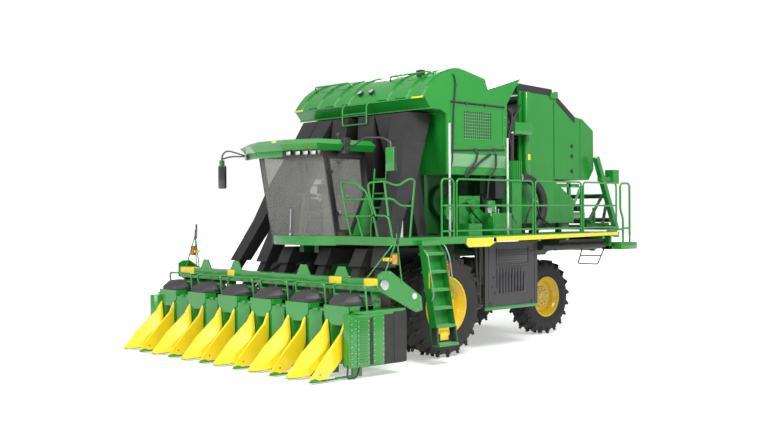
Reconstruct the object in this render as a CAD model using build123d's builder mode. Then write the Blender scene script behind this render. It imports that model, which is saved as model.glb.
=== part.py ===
from build123d import *
from math import asin, cos, degrees, radians, sin, sqrt
import os

# Cotton picker with six row units, an on-board accumulator and a round module chamber.
# Millimetres. +X is the machine's left side, -Y is forward, +Z is up, and the ground is z = 0.
# The origin is on the ground under the middle of the whole outline.

# Driving dimensions
front_axle_y = -1351.74
wheelbase = 4230.0
rear_axle_y = front_axle_y + wheelbase
row_spacing = 1016.0
row_centres = [(i - 2.5) * row_spacing for i in range(6)]

# Front dual tyres and rear tyres
tyre_sides = 20
front_tip_r = 945.0
front_rim_r = 535.0
front_width = 520.0
dual_centres = (row_spacing, 2 * row_spacing)
rear_tip_r = 800.0
rear_rim_r = 432.0
rear_width = 480.0
rear_track = 1030.0
lug_height = 42.0
lug_width = 58.0

# Header
header_pivot_y = front_axle_y - 550.0
header_pivot_z = 1300.0
pivot_r = 60.0
running_gap = 0.5
unit_half = 470.0
passage_half = 70.0
housing_front = front_axle_y - 2840.0
housing_rear = front_axle_y - 1760.0
housing_z = (190.0, 1040.0)
deck_top = 1075.0
hood_base = 1150.0
toolbar_y = (front_axle_y - 2330.0, front_axle_y - 2130.0)
toolbar_z = (1360.0, 1560.0)
toolbar_half = 2960.0
divider_tip_y = front_axle_y - 3655.0

# Deck, cab and upper body
platform_top = 2200.0
platform_half = 2450.0
platform_y = (front_axle_y - 1500.0, front_axle_y + 5200.0)
rail_top = 3240.0
rail_mid = 2760.0
rail_r = 19.0
cab_half = 960.0
cab_floor_top = 2220.0
cab_rear_y = front_axle_y - 600.0
roof_base = 3760.0
body_half = 1900.0
chamber_half = 1600.0
sheet = 40.0

# Largest volume that still counts as a flat face, in cubic millimetres
twist_limit = 1000.0

os.makedirs("parts", exist_ok=True)


def box_between(low, high, mode=Mode.ADD):
    """A box from its low corner to its high corner, in the open part."""
    centre = tuple((a + b) / 2 for a, b in zip(low, high))
    with Locations(centre):
        Box(*(b - a for a, b in zip(low, high)), mode=mode)


def side_box(side, low, high, mode=Mode.ADD):
    """A box given by its left-hand corners, mirrored to the right when the side is -1."""
    near, far = sorted((side * low[0], side * high[0]))
    box_between((near, *low[1:]), (far, *high[1:]), mode=mode)


def runs(points, overlap=0.0):
    """For each straight run between the points, the plane across its start and its length."""
    spots = [Vector(*p) for p in points]
    pairs = zip(spots, spots[1:])
    return [
        (Plane(origin=a - (b - a).normalized() * overlap, z_dir=b - a), (b - a).length + 2 * overlap)
        for a, b in pairs
    ]


def bars(points, radius, overlap=0.0):
    """Six-sided bars along the straight runs between the points."""
    return [
        extrude(plane * RegularPolygon(radius, 6), amount=length) for plane, length in runs(points, overlap)
    ]


def flat_sided(rings):
    """A solid through rings of corners, whose sides are all flat faces."""
    levels = [[Vector(*corner) for corner in ring] for ring in rings]
    faces = [Face(Wire.make_polygon(levels[0])), Face(Wire.make_polygon(levels[-1]))]
    for lower, upper in zip(levels, levels[1:]):
        for i in range(len(lower)):
            a, b, c, d = lower[i - 1], lower[i], upper[i], upper[i - 1]
            if abs((b - a).cross(c - a).dot(d - a)) < twist_limit:
                faces.append(Face(Wire.make_polygon((a, b, c, d))))
            else:
                faces += [Face(Wire.make_polygon((a, b, c))), Face(Wire.make_polygon((a, c, d)))]
    return Solid(Shell(faces))


def rectangle_ring(x, y, z, half_x, half_y, tilt=(1.0, 0.0)):
    """Four corners about a point; the tilt is the direction of the y side in the side view."""
    reach = (half_y * tilt[0], half_y * tilt[1])
    corners = ((-1, -1), (1, -1), (1, 1), (-1, 1))
    return [(x + i * half_x, y + j * reach[0], z + j * reach[1]) for i, j in corners]


def round_ring(x, radius, sides):
    """The corners of a regular outline about the X axis."""
    turns = [radians(360.0 * i / sides) for i in range(sides)]
    return [(x, radius * cos(turn), radius * sin(turn)) for turn in turns]


def arc_points(start, middle, end, count):
    """Points along the arc through three points of the side view."""
    curve = ThreePointArc(start, middle, end)
    spots = [curve @ (i / count) for i in range(count + 1)]
    return [(spot.X, spot.Y) for spot in spots]


def finish(part, name):
    """Labels one node and writes its file."""
    part.label = name
    export_step(part, f"parts/{name}.step")


# Header: toolbar with saddles for the lift frame
with BuildPart() as toolbar:
    box_between((-toolbar_half, toolbar_y[0], toolbar_z[0]), (toolbar_half, toolbar_y[1], toolbar_z[1]))
    for x in row_centres:
        for side in (-250, 250):
            box_between((x + side - 15, toolbar_y[0], deck_top), (x + side + 15, toolbar_y[1], toolbar_z[0]))
    for x in (-2.0, -1.0, 1.0, 2.0):
        with BuildSketch(Plane.XZ.offset(-toolbar_y[0] - 40)):
            with Locations((x * row_spacing, toolbar_z[1])):
                Polygon((-190, 0), (190, 0), (80, 180), (-80, 180), align=None)
        extrude(amount=20)
finish(toolbar.part, "toolbar")

with BuildPart() as lift_arms:
    for side in (-1, 1):
        with BuildSketch(Plane.YZ.offset(side * 200 - 60)):
            Polygon(
                (toolbar_y[1], toolbar_z[0]),
                (toolbar_y[1], toolbar_z[1]),
                (header_pivot_y, header_pivot_z + 100),
                (header_pivot_y + 90, header_pivot_z),
                (header_pivot_y, header_pivot_z - 100),
                align=None,
            )
        extrude(amount=120)
    with Locations((0, header_pivot_y, header_pivot_z)):
        Cylinder(pivot_r, 860, rotation=(0, 90, 0))
finish(lift_arms.part, "lift_arms")

# Two drum housings a row, with the plant passage between them
with BuildPart() as unit_housings:
    for x in row_centres:
        for side in (-1, 1):
            with BuildSketch(Plane.XY.offset(housing_z[0])):
                with BuildLine():
                    Polyline(
                        (x + side * passage_half, housing_front + 130),
                        (x + side * (passage_half + 60), housing_front),
                        (x + side * 310, housing_front),
                        (x + side * unit_half, housing_front + 140),
                        (x + side * unit_half, housing_rear - 40),
                        (x + side * (unit_half - 40), housing_rear),
                        (x + side * passage_half, housing_rear),
                        close=True,
                    )
                make_face()
            extrude(amount=housing_z[1] - housing_z[0])
finish(unit_housings.part, "unit_housings")

# Deck over each row's two housings, with the pointed front plate and the gear head
with BuildPart() as unit_decks:
    for x in row_centres:
        box_between(
            (x - unit_half, housing_front + 40, housing_z[1]), (x + unit_half, housing_rear, deck_top)
        )
        box_between((x - 330, housing_front, deck_top), (x + 330, housing_front + 500, hood_base))
        with BuildSketch(Plane.XZ.offset(-housing_front)):
            with Locations((x, 0)):
                Polygon(
                    (-300, hood_base),
                    (-300, 980),
                    (-110, 840),
                    (110, 840),
                    (300, 980),
                    (300, hood_base),
                    align=None,
                )
        extrude(amount=20)
        box_between((x - 300, housing_front, housing_z[1]), (x + 300, housing_front + 60, deck_top))
finish(unit_decks.part, "unit_decks")

# Columns: height, half width, front y, rear y, corner cut
hood_levels = (
    (hood_base, 350.0, housing_front - 20, housing_front + 490, 130.0),
    (hood_base + 180, 270.0, housing_front + 150, housing_front + 440, 90.0),
)
hood_solids = [
    flat_sided(
        [
            [
                (x - half, rear, z),
                (x - half, front + 1.6 * cut, z),
                (x - half + cut, front, z),
                (x + half - cut, front, z),
                (x + half, front + 1.6 * cut, z),
                (x + half, rear, z),
            ]
            for z, half, front, rear, cut in hood_levels
        ]
    )
    for x in row_centres
]
with BuildPart() as unit_hoods:
    add(hood_solids)
finish(unit_hoods.part, "unit_hoods")

# Tube hoops over each unit, tied back to the toolbar
hoop_half = 385.0
hoop_y = toolbar_y[0] - 210.0
hoop_top = 1465.0
hoop_bars = []
for x in row_centres:
    arch = [
        (x - hoop_half, hoop_y, deck_top + 2.2),
        (x - hoop_half, hoop_y - 40, hoop_top),
        (x + hoop_half, hoop_y - 40, hoop_top),
        (x + hoop_half, hoop_y, deck_top + 2.2),
    ]
    hoop_bars += bars(arch, 20)
    for side in (-1, 1):
        tie_x = x + side * hoop_half
        hoop_bars += bars([(tie_x, hoop_y - 40, hoop_top), (tie_x, toolbar_y[0], hoop_top)], 20)
with BuildPart() as unit_hoops:
    add(hoop_bars)
finish(unit_hoops.part, "unit_hoops")

# Row dividers: long tapering points that part the crop in front of each passage
# Columns: y behind the tip, inner and outer half widths about the point's own middle, low z, high z
divider_offset = 285.0
divider_sections = (
    (0.0, 12.0, 40.0, 75.0),
    (330.0, 120.0, 60.0, 420.0),
    (690.0, 95.0, 330.0, 740.0),
    (790.0, 78.0, 500.0, 930.0),
)
divider_solids = []
for x in row_centres:
    for side in (-1, 1):
        rings = []
        for back, half, low, high in divider_sections:
            middle = x + side * (divider_offset - 0.1 * back)
            y = divider_tip_y + back
            top_half = 0.6 * half
            corners = ((-half, low), (half, low), (top_half, high), (-top_half, high))
            rings.append([(middle + across, y, z) for across, z in corners])
        divider_solids.append(flat_sided(rings))
divider_length = divider_sections[-1][0]
divider_tail = divider_offset - 0.1 * divider_length
with BuildPart() as divider_points:
    add(divider_solids)
    for x in row_centres:
        for side in (-1, 1):
            tail_x = x + side * divider_tail
            box_between(
                (tail_x - 35, divider_tip_y + divider_length, 560), (tail_x + 35, housing_front, 820)
            )
finish(divider_points.part, "divider_points")

with BuildPart() as divider_shoes:
    for x in row_centres:
        for side in (-1, 1):
            middle = x + side * divider_offset
            box_between(
                (middle - 45, divider_tip_y + 10, 28), (middle + 45, divider_tip_y + 560, 40)
            )
            box_between(
                (middle - 20, divider_tip_y + 540, 28), (middle + 20, housing_front + 260, 60)
            )
            box_between(
                (middle - 20, housing_front + 60, 60), (middle + 20, housing_front + 260, housing_z[0])
            )
finish(divider_shoes.part, "divider_shoes")

with BuildPart() as rear_curtains:
    for side in (-1, 1):
        x = side * (row_centres[5] + unit_half)
        box_between(
            (min(x, x + side * 12), housing_rear - 270, 200), (max(x, x + side * 12), housing_rear + 10, 1030)
        )
finish(rear_curtains.part, "rear_curtains")

with BuildPart() as end_plates:
    for side in (-1, 1):
        with BuildSketch(Plane.YZ.offset(side * toolbar_half - (30 if side < 0 else 0))):
            Polygon(
                (front_axle_y - 2340, 1380),
                (front_axle_y - 2340, 1640),
                (front_axle_y - 2240, 1690),
                (front_axle_y - 2080, 1690),
                (front_axle_y - 1370, 1240),
                (front_axle_y - 1340, 1010),
                (front_axle_y - 1480, 980),
                align=None,
            )
        extrude(amount=30)
finish(end_plates.part, "end_plates")

# Three-legged marker masts over the toolbar's ends, each with a mirror plate and two markers
mast_top_y = front_axle_y - 1930.0
mast_foot_z = toolbar_z[1] + 9.0
mast_bars = []
for side in (-1, 1):
    crown = (side * 2990, mast_top_y, 2180)
    for foot in (
        (side * 2550, toolbar_y[1] - 60, mast_foot_z),
        (side * 2930, toolbar_y[1] - 60, mast_foot_z),
        (side * 2996, front_axle_y - 1830, 1560),
    ):
        mast_bars += bars([foot, crown], 14)
with BuildPart() as header_masts:
    add(mast_bars)
    for side in (-1, 1):
        for foot_x in (2550, 2930):
            low = (foot_x - 30, toolbar_y[1] - 90, toolbar_z[1])
            side_box(side, low, (foot_x + 30, toolbar_y[1] - 30, mast_foot_z))
        side_box(side, (2990, front_axle_y - 1870, 1430), (3004, front_axle_y - 1790, 1570))
        side_box(side, (2975, mast_top_y - 15, 2170), (3005, mast_top_y + 15, 2290))
        side_box(side, (2905, mast_top_y + 10, 2120), (3075, mast_top_y + 30, 2420))
        side_box(side, (2700, mast_top_y - 115, 1900), (2970, mast_top_y - 95, 2000))
        side_box(side, (2965, mast_top_y - 85, 1995), (3045, mast_top_y - 55, 2055))
finish(header_masts.part, "header_masts")

# Six air ducts. The outer pair and the right middle one rise straight beside the cab, and the other
# three run back below the floor before they rise
# Columns of the levels: z, front y, rear y from the front axle, width
duct_levels = (
    (1690.0, -1560.0, -1280.0, 330.0),
    (2500.0, -1170.0, -840.0, 330.0),
    (3250.0, -800.0, -400.0, 360.0),
    (3950.0, -480.0, 80.0, 420.0),
    (4500.0, -220.0, 380.0, 460.0),
)
duct_top = duct_levels[-1][0]
# The middle x at each level, for every duct that rises straight
straight_ducts = (
    (2115.0, 1845.0, 1755.0, 1460.0, 1325.0),
    (-2115.0, -1845.0, -1755.0, -1460.0, -1325.0),
    (-1235.0, -1170.0, -1190.0, -1000.0, -850.0),
)
# Columns of the bent ducts: mouth x, top x, y of the rise from the front axle
bent_ducts = ((560.0, 375.0, -400.0), (-560.0, -375.0, -400.0), (1524.0, 850.0, 50.0))
duct_wall = 20.0

# Suction boots on the decks: each leans to its duct, then slides up inside the mouth
# Columns: row, mouth x, change of x for each millimetre up
boot_places = [
    (row_centres[0], -2115.0, 0.333),
    (row_centres[1], -1235.0, 0.08),
    (row_centres[2], -560.0, 0.0),
    (row_centres[3], 560.0, 0.0),
    (row_centres[4], 1524.0, 0.0),
    (row_centres[5], 2115.0, -0.333),
]
boot_knee_z = 1450.0
boot_tip_z = 1780.0
boot_wall = 12.0
duct_lean = 0.512


def boot_solid(row, mouth_x, lean, inset):
    """One boot, or the space inside it when the inset is its wall."""
    rings = [rectangle_ring(row, housing_rear - 150, deck_top, 150 - inset, 120 - inset)]
    for z in (boot_knee_z, boot_tip_z):
        above = z - duct_levels[0][0]
        x = mouth_x + lean * (above + 60)
        y = front_axle_y - 1420 + duct_lean * above
        rings.append(rectangle_ring(x, y, z, 100 - inset, 75 - inset))
    return flat_sided(rings)


boot_skins = [boot_solid(*place, 0) for place in boot_places]
boot_spaces = [boot_solid(*place, boot_wall) for place in boot_places]
with BuildPart() as suction_boots:
    add(boot_skins)
    add(boot_spaces, mode=Mode.SUBTRACT)
finish(suction_boots.part, "suction_boots")

# Chassis: two rails with cross members, front pivot ears, cab beams and body posts
frame_z = (1060.0, 1340.0)
rear_frame_z = (1660.0, 1940.0)
frame_step_y = rear_axle_y - 1130.0
frame_end = rear_axle_y + 950.0
handler_hinge = (front_axle_y + 5290.0, 1830.0)
hinge_r = 55.0
with BuildPart() as main_frame:
    for side in (-1, 1):
        with BuildSketch(Plane.YZ.offset(side * 430 - 60)):
            Polygon(
                (front_axle_y - 380, frame_z[0]),
                (front_axle_y - 380, frame_z[1]),
                (frame_step_y - 300, frame_z[1]),
                (frame_step_y, rear_frame_z[1]),
                (frame_end, rear_frame_z[1]),
                (frame_end, rear_frame_z[0]),
                (frame_step_y + 150, rear_frame_z[0]),
                (frame_step_y - 130, frame_z[0]),
                align=None,
            )
            Polygon(
                (frame_end, rear_frame_z[1]),
                (frame_end, rear_frame_z[0] + 30),
                (handler_hinge[0] - 20, handler_hinge[1] - 90),
                (handler_hinge[0] + 90, handler_hinge[1] - 90),
                (handler_hinge[0] + 90, handler_hinge[1] + 90),
                align=None,
            )
        extrude(amount=120)
        side_box(side, (160, front_axle_y - 1350, 1900), (280, front_axle_y - 200, 2050))
        side_box(side, (160, front_axle_y - 330, frame_z[1] - 20), (280, front_axle_y - 200, 1920))
        side_box(
            side,
            (320, header_pivot_y - 110, header_pivot_z - 110),
            (380, front_axle_y - 380, header_pivot_z + 110),
        )
        side_box(side, (370, front_axle_y + 430, frame_z[1]), (490, front_axle_y + 530, 1950))
        for y, base, top in (
            (480.0, 2050.0, 3350.0),
            (2080.0, frame_z[1], 3350.0),
            (3400.0, rear_frame_z[1], 2400.0),
            (4650.0, rear_frame_z[1], 2400.0),
        ):
            side_box(side, (1200, front_axle_y + y - 50, base), (1300, front_axle_y + y + 50, top))
    # Columns: y from the front axle, half length, top z
    for y, half, top in (
        (-320.0, 490.0, frame_z[1]),
        (480.0, 1300.0, 2060.0),
        (2080.0, 1300.0, frame_z[1]),
        (3400.0, 1300.0, rear_frame_z[1]),
        (4650.0, 1300.0, rear_frame_z[1]),
    ):
        box_between((-half, front_axle_y + y - 60, top - 140), (half, front_axle_y + y + 60, top))
    box_between((-490, frame_end - 100, rear_frame_z[0]), (490, frame_end, rear_frame_z[0] + 140))
    with Locations((0, header_pivot_y, header_pivot_z)):
        Cylinder(pivot_r + running_gap, 900, rotation=(0, 90, 0), mode=Mode.SUBTRACT)
    with Locations((0, *handler_hinge)):
        Cylinder(hinge_r + running_gap, 1100, rotation=(0, 90, 0), mode=Mode.SUBTRACT)
finish(main_frame.part, "main_frame")

with BuildPart() as front_axle:
    box_between((-620, front_axle_y - 170, front_tip_r - 150), (620, front_axle_y + 170, frame_z[0]))
    for side in (-1, 1):
        with BuildSketch(Plane.YZ.offset(side * 690 - 70)):
            with Locations((front_axle_y, front_tip_r)):
                RegularPolygon(190, tyre_sides)
        extrude(amount=140)
finish(front_axle.part, "front_axle")

king_pin_x = rear_track - 390.0
king_pin_r = 28.0
tow_eye_back = 190.0
tow_eye_r = 20.0
with BuildPart() as rear_axle:
    box_between((-560, rear_axle_y - 110, rear_tip_r - 130), (560, rear_axle_y + 110, rear_tip_r + 130))
    box_between((-250, rear_axle_y - 140, rear_tip_r + 130), (250, rear_axle_y + 140, rear_frame_z[0]))
    for side in (-1, 1):
        for z in (rear_tip_r - 130, rear_tip_r + 90):
            side_box(side, (540, rear_axle_y - 60, z), (710, rear_axle_y + 60, z + 40))
        with Locations((side * king_pin_x, rear_axle_y, rear_tip_r)):
            Cylinder(king_pin_r + running_gap, 300, mode=Mode.SUBTRACT)
    box_between((-70, rear_axle_y + 110, rear_tip_r - 20), (70, rear_axle_y + 260, rear_tip_r + 20))
    with Locations((0, rear_axle_y + tow_eye_back, rear_tip_r)):
        Cylinder(tow_eye_r, 60, mode=Mode.SUBTRACT)
finish(rear_axle.part, "rear_axle")

with BuildPart() as engine_block:
    box_between((-330, front_axle_y + 1150, frame_z[1]), (330, front_axle_y + 2300, 2380))
finish(engine_block.part, "engine_block")

# Louvred side panels below the walkway
with BuildPart() as engine_side_panels:
    for side in (-1, 1):
        side_box(side, (2140, front_axle_y + 1140, 760), (2200, front_axle_y + 2720, 2060))
        for i in range(9):
            y = front_axle_y + 1480 + i * 90
            side_box(side, (2199, y, 1180), (2215, y + 40, 1560))
        for y in (1180.0, 2560.0):
            side_box(side, (490, front_axle_y + y, 1180), (2140, front_axle_y + y + 80, 1260))
finish(engine_side_panels.part, "engine_side_panels")

with BuildPart() as belly_tanks:
    for side in (-1, 1):
        side_box(side, (1400, rear_axle_y - 800, 1840), (2200, rear_axle_y + 820, 2060))
    chamfer(belly_tanks.edges().filter_by(Axis.Y).group_by(Axis.Z)[0], 70)
finish(belly_tanks.part, "belly_tanks")

# Columns of the bent route: y from the front axle or None for the y of that duct's rise, z, direction
# of the section in the side view, half width, half depth
bent_levels = (
    (-1420.0, 1690.0, (1.0, 0.0), 165.0, 140.0),
    (-1300.0, 1850.0, (0.529, -0.849), 165.0, 175.0),
    (None, 1850.0, (0.66, -0.751), 165.0, 175.0),
    (80.0, duct_top, (1.0, 0.0), 230.0, 300.0),
)


def straight_duct(middles, inset):
    """One straight duct, or the space inside it when the inset is its wall."""
    return flat_sided(
        [
            rectangle_ring(
                x, front_axle_y + (front + rear) / 2, z, width / 2 - inset, (rear - front) / 2 - inset
            )
            for (z, front, rear, width), x in zip(duct_levels, middles)
        ]
    )


def bent_duct(mouth_x, top_x, rise_y, inset):
    """One duct that runs back below the floor before it rises, or the space inside it."""
    rings = []
    for y, z, tilt, half_width, half_depth in bent_levels:
        x = top_x if z == duct_top else mouth_x
        y = rise_y if y is None else y
        rings.append(rectangle_ring(x, front_axle_y + y, z, half_width - inset, half_depth - inset, tilt))
    return flat_sided(rings)


duct_skins = [straight_duct(middles, 0) for middles in straight_ducts]
duct_skins += [bent_duct(*route, 0) for route in bent_ducts]
duct_spaces = [straight_duct(middles, duct_wall) for middles in straight_ducts]
duct_spaces += [bent_duct(*route, duct_wall) for route in bent_ducts]
with BuildPart() as upper_ducts:
    add(duct_skins)
    add(duct_spaces, mode=Mode.SUBTRACT)
finish(upper_ducts.part, "upper_ducts")

# Accumulator: side plates with a screen window, a ribbed quarter-round front, and the rear shell
hood_start = (front_axle_y - 170.0, 4760.0)
hood_middle = (front_axle_y + 230.0, 5170.0)
hood_end = (front_axle_y + 880.0, 5340.0)
soffit = (front_axle_y, 4560.0)
shell_front = front_axle_y + 460.0
side_outline = (
    (front_axle_y + 1500, 5210),
    (front_axle_y + 1600, 5020),
    (front_axle_y + 2580, 5310),
    (front_axle_y + 2160, 4770),
    (front_axle_y + 2160, 3350),
    (front_axle_y + 420, 3350),
    (front_axle_y + 420, 4480),
    (front_axle_y + 250, 4550),
    soffit,
)
arc_steps = 10
hood_arc = arc_points(hood_start, hood_middle, hood_end, arc_steps)
screen_y = (front_axle_y + 520.0, front_axle_y + 2060.0)
screen_z = (3900.0, 4700.0)
with BuildPart() as accumulator_sides:
    for side in (-1, 1):
        plane = Plane.YZ.offset(side * body_half - (sheet if side > 0 else 0))
        with BuildSketch(plane):
            Polygon(*hood_arc, *side_outline, align=None)
        extrude(amount=sheet)
        with BuildSketch(plane):
            with Locations(((screen_y[0] + screen_y[1]) / 2, (screen_z[0] + screen_z[1]) / 2)):
                Rectangle(screen_y[1] - screen_y[0], screen_z[1] - screen_z[0])
        extrude(amount=sheet, mode=Mode.SUBTRACT)
finish(accumulator_sides.part, "accumulator_sides")

with BuildPart() as screen_panels:
    for side in (-1, 1):
        low = side * body_half - (sheet if side > 0 else 0)
        box_between((low, screen_y[0], screen_z[0]), (low + sheet, screen_y[1], screen_z[1]))
        outer = side * body_half
        with Locations((outer, (screen_y[0] + screen_y[1]) / 2, (screen_z[0] + screen_z[1]) / 2)):
            Box(24, 800, 540, mode=Mode.SUBTRACT)
finish(screen_panels.part, "screen_panels")

inner_half = body_half - sheet
hood_inner_arc = arc_points(
    (hood_start[0] + 45, hood_start[1] - 5),
    (hood_middle[0] + 25, hood_middle[1] - 30),
    (hood_end[0], hood_end[1] - sheet),
    arc_steps,
)
rib_outer_arc = arc_points(
    (hood_start[0] - 16, hood_start[1] + 24),
    (hood_middle[0] - 20, hood_middle[1] + 22),
    (hood_end[0], hood_end[1] + 26),
    arc_steps,
)
rib_inner_arc = arc_points(
    (hood_start[0] + 10, hood_start[1]),
    (hood_middle[0] + 6, hood_middle[1] - 8),
    (hood_end[0], hood_end[1] - 10),
    arc_steps,
)
# Columns: middle x and width of each rib pressed into the hood
hood_ribs = (
    (-1760.0, 160.0), (-1290.0, 270.0), (-770.0, 270.0), (-300.0, 180.0), (770.0, 270.0), (1290.0, 270.0),
    (1760.0, 160.0),
)
hood_frame = bars(
    [
        (-270.0, front_axle_y - 168, 4775.0),
        (-270.0, front_axle_y - 262, 4700.0),
        (-270.0, front_axle_y - 262, 4350.0),
        (430.0, front_axle_y - 262, 4350.0),
        (430.0, front_axle_y - 262, 4700.0),
        (430.0, front_axle_y - 168, 4775.0),
    ],
    15,
    overlap=6,
)
with BuildPart() as accumulator_front:
    with BuildSketch(Plane.YZ.offset(-inner_half)):
        Polygon(
            *hood_arc,
            *reversed(hood_inner_arc),
            (soffit[0] + 20, soffit[1] + 30),
            (shell_front, 4550),
            (shell_front, 4515),
            soffit,
            align=None,
        )
    extrude(amount=2 * inner_half)
    for x, width in hood_ribs:
        with BuildSketch(Plane.YZ.offset(x - width / 2)):
            Polygon(*rib_outer_arc, *reversed(rib_inner_arc), align=None)
        extrude(amount=width)
    add(hood_frame)
finish(accumulator_front.part, "accumulator_front")

# Two six-sided work lamps, square to the hood's slope
lamp_spot = hood_arc[2]
lamp_slope = Vector(hood_arc[3][0] - hood_arc[1][0], hood_arc[3][1] - hood_arc[1][1]).normalized()
lamp_facing = (-lamp_slope.Y, lamp_slope.X)
with BuildPart() as hood_lamps:
    for x in (20.0, 340.0):
        with BuildSketch(Plane(origin=(x, *lamp_spot), x_dir=(1, 0, 0), z_dir=(0, *lamp_facing))):
            RegularPolygon(62, 6)
        extrude(amount=60)
    add(accumulator_front.part, mode=Mode.SUBTRACT)
finish(hood_lamps.part, "hood_lamps")

with BuildPart() as accumulator_shell:
    with BuildSketch(Plane.YZ.offset(-inner_half)):
        Polygon(
            hood_end,
            (front_axle_y + 1500, 5210),
            (front_axle_y + 1600, 5020),
            (front_axle_y + 2580, 5310),
            (front_axle_y + 2160, 4770),
            (front_axle_y + 2160, 3350),
            (shell_front, 3350),
            (shell_front, 4515),
            (shell_front + sheet, 4515),
            (shell_front + sheet, 3390),
            (front_axle_y + 2120, 3390),
            (front_axle_y + 2120, 4790),
            (front_axle_y + 2470, 5240),
            (front_axle_y + 1590, 4980),
            (front_axle_y + 1470, 5175),
            (hood_end[0], hood_end[1] - sheet),
            align=None,
        )
    extrude(amount=2 * inner_half)
finish(accumulator_shell.part, "accumulator_shell")

# Round module chamber: side walls, roof and front rollers on the frame, with a rear gate
chamber_front = front_axle_y + 2900.0
gate_line = front_axle_y + 4040.0
gate_pin = (gate_line + 60.0, 5110.0)
gate_pin_r = 34.0
with BuildPart() as chamber_sides:
    for side in (-1, 1):
        with BuildSketch(Plane.YZ.offset(side * chamber_half - (sheet if side > 0 else 0))):
            Polygon(
                (chamber_front, 2400),
                (chamber_front, 5230),
                (gate_line - 60, 5190),
                (gate_line, 5150),
                (gate_line, 3300),
                (gate_line + 700, 2900),
                (gate_line + 700, 2400),
                align=None,
            )
        extrude(amount=sheet)
        with BuildSketch(Plane.XY.offset(3200)):
            with Locations((side * (chamber_half + 55), chamber_front + 160)):
                RegularPolygon(75, 12)
        extrude(amount=1900)
        side_box(side, (chamber_half, gate_line - 130, 5040), (chamber_half + 40, gate_line - 10, 5150))
        side_box(side, (chamber_half + 12, gate_line - 10, 5040), (chamber_half + 40, gate_line + 110, 5180))
    with BuildSketch(Plane.YZ.offset(-chamber_half)):
        Polygon(
            (chamber_front, 5220),
            (chamber_front, 5270),
            (gate_line - 60, 5230),
            (gate_line - 60, 5180),
            align=None,
        )
    extrude(amount=2 * chamber_half)
    with Locations((0, *gate_pin)):
        Cylinder(gate_pin_r + running_gap, 3400, rotation=(0, 90, 0), mode=Mode.SUBTRACT)
finish(chamber_sides.part, "chamber_sides")

chamber_inner = chamber_half - sheet
with BuildPart() as chamber_rollers:
    box_between((-chamber_inner, chamber_front, 2400), (chamber_inner, gate_line + 700, 2450))
    for y, z in ((150.0, 2750.0), (130.0, 3500.0), (130.0, 4250.0), (150.0, 4950.0)):
        with BuildSketch(Plane.YZ.offset(-chamber_inner)):
            with Locations((chamber_front + y, z)):
                RegularPolygon(90, 16)
        extrude(amount=2 * chamber_inner)
finish(chamber_rollers.part, "chamber_rollers")

# The gate turns on a pin across its top edge
gate_outline = (
    (gate_line + 15, 5100),
    (gate_line + 110, 5090),
    (gate_line + 740, 4690),
    (gate_line + 1020, 4660),
    (gate_line + 1420, 4420),
    (gate_line + 1430, 3560),
    (gate_line + 1250, 3330),
    (gate_line + 15, 3330),
)
with BuildPart() as rear_gate:
    with BuildSketch(Plane.YZ.offset(-chamber_half)):
        Polygon(*gate_outline, align=None)
    extrude(amount=2 * chamber_half)
    with BuildSketch(Plane.YZ.offset(-chamber_inner)):
        Polygon(
            (gate_line + 14, 5062),
            (gate_line + 98, 5052),
            (gate_line + 724, 4652),
            (gate_line + 1005, 4621),
            (gate_line + 1380, 4400),
            (gate_line + 1390, 3580),
            (gate_line + 1230, 3329),
            (gate_line + 14, 3329),
            align=None,
        )
    extrude(amount=2 * chamber_inner, mode=Mode.SUBTRACT)
    with Locations((0, *gate_pin)):
        Cylinder(gate_pin_r, 2 * chamber_half + 80, rotation=(0, 90, 0))
finish(rear_gate.part, "rear_gate")

# Module handler: two arms outside the gate, folded up, joined at their bend by the cradle
# Columns: x, y from the hinge, z
handler_route = ((1690.0, 0.0, handler_hinge[1]), (1760.0, 780.0, 2270.0), (1760.0, 60.0, 3800.0))
with BuildPart() as module_handler:
    for side in (-1, 1):
        route = [(side * x, handler_hinge[0] + y, z) for x, y, z in handler_route]
        for plane, length in runs(route, overlap=30):
            with BuildSketch(plane):
                Rectangle(110, 110)
            extrude(amount=length)
        side_box(side, (1705, handler_hinge[0] + 180, 3300), (1815, handler_hinge[0] + 700, 3400))
        side_box(side, (1640, handler_hinge[0] + 560, 3250), (1860, handler_hinge[0] + 780, 3560))
        side_box(side, (500, handler_hinge[0] + 810, 2230), (760, -divider_tip_y, 2300))
    box_between((-1760, handler_hinge[0] + 700, 2220), (1760, handler_hinge[0] + 820, 2330))
    with Locations((0, *handler_hinge)):
        Cylinder(hinge_r, 3300, rotation=(0, 90, 0))
finish(module_handler.part, "module_handler")

# Cab: floor, pillars and walls, roof, curved windscreen, panes and a front-hinged door
pillar_foot = (front_axle_y - 1500.0, cab_floor_top)
pillar_head = (front_axle_y - 1790.0, roof_base)
screen_bow = 285.0
pillar_lean = (pillar_head[0] - pillar_foot[0]) / (pillar_head[1] - pillar_foot[1])


def pillar_y(z):
    """The windscreen pillar's y at a height."""
    return pillar_foot[0] + pillar_lean * (z - pillar_foot[1])


def rear_y(z):
    """The leaning rear wall's y at a height."""
    return cab_rear_y - 0.123 * (z - cab_floor_top)


with BuildPart() as cab_floor:
    with BuildSketch(Plane.XY.offset(cab_floor_top - 170)):
        with BuildLine():
            ThreePointArc(
                (-cab_half, pillar_foot[0]), (0, pillar_foot[0] - screen_bow - 18), (cab_half, pillar_foot[0])
            )
            Polyline(
                (cab_half, pillar_foot[0]),
                (cab_half, cab_rear_y),
                (-cab_half, cab_rear_y),
                (-cab_half, pillar_foot[0]),
            )
        make_face()
    extrude(amount=170)
finish(cab_floor.part, "cab_floor")

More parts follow.
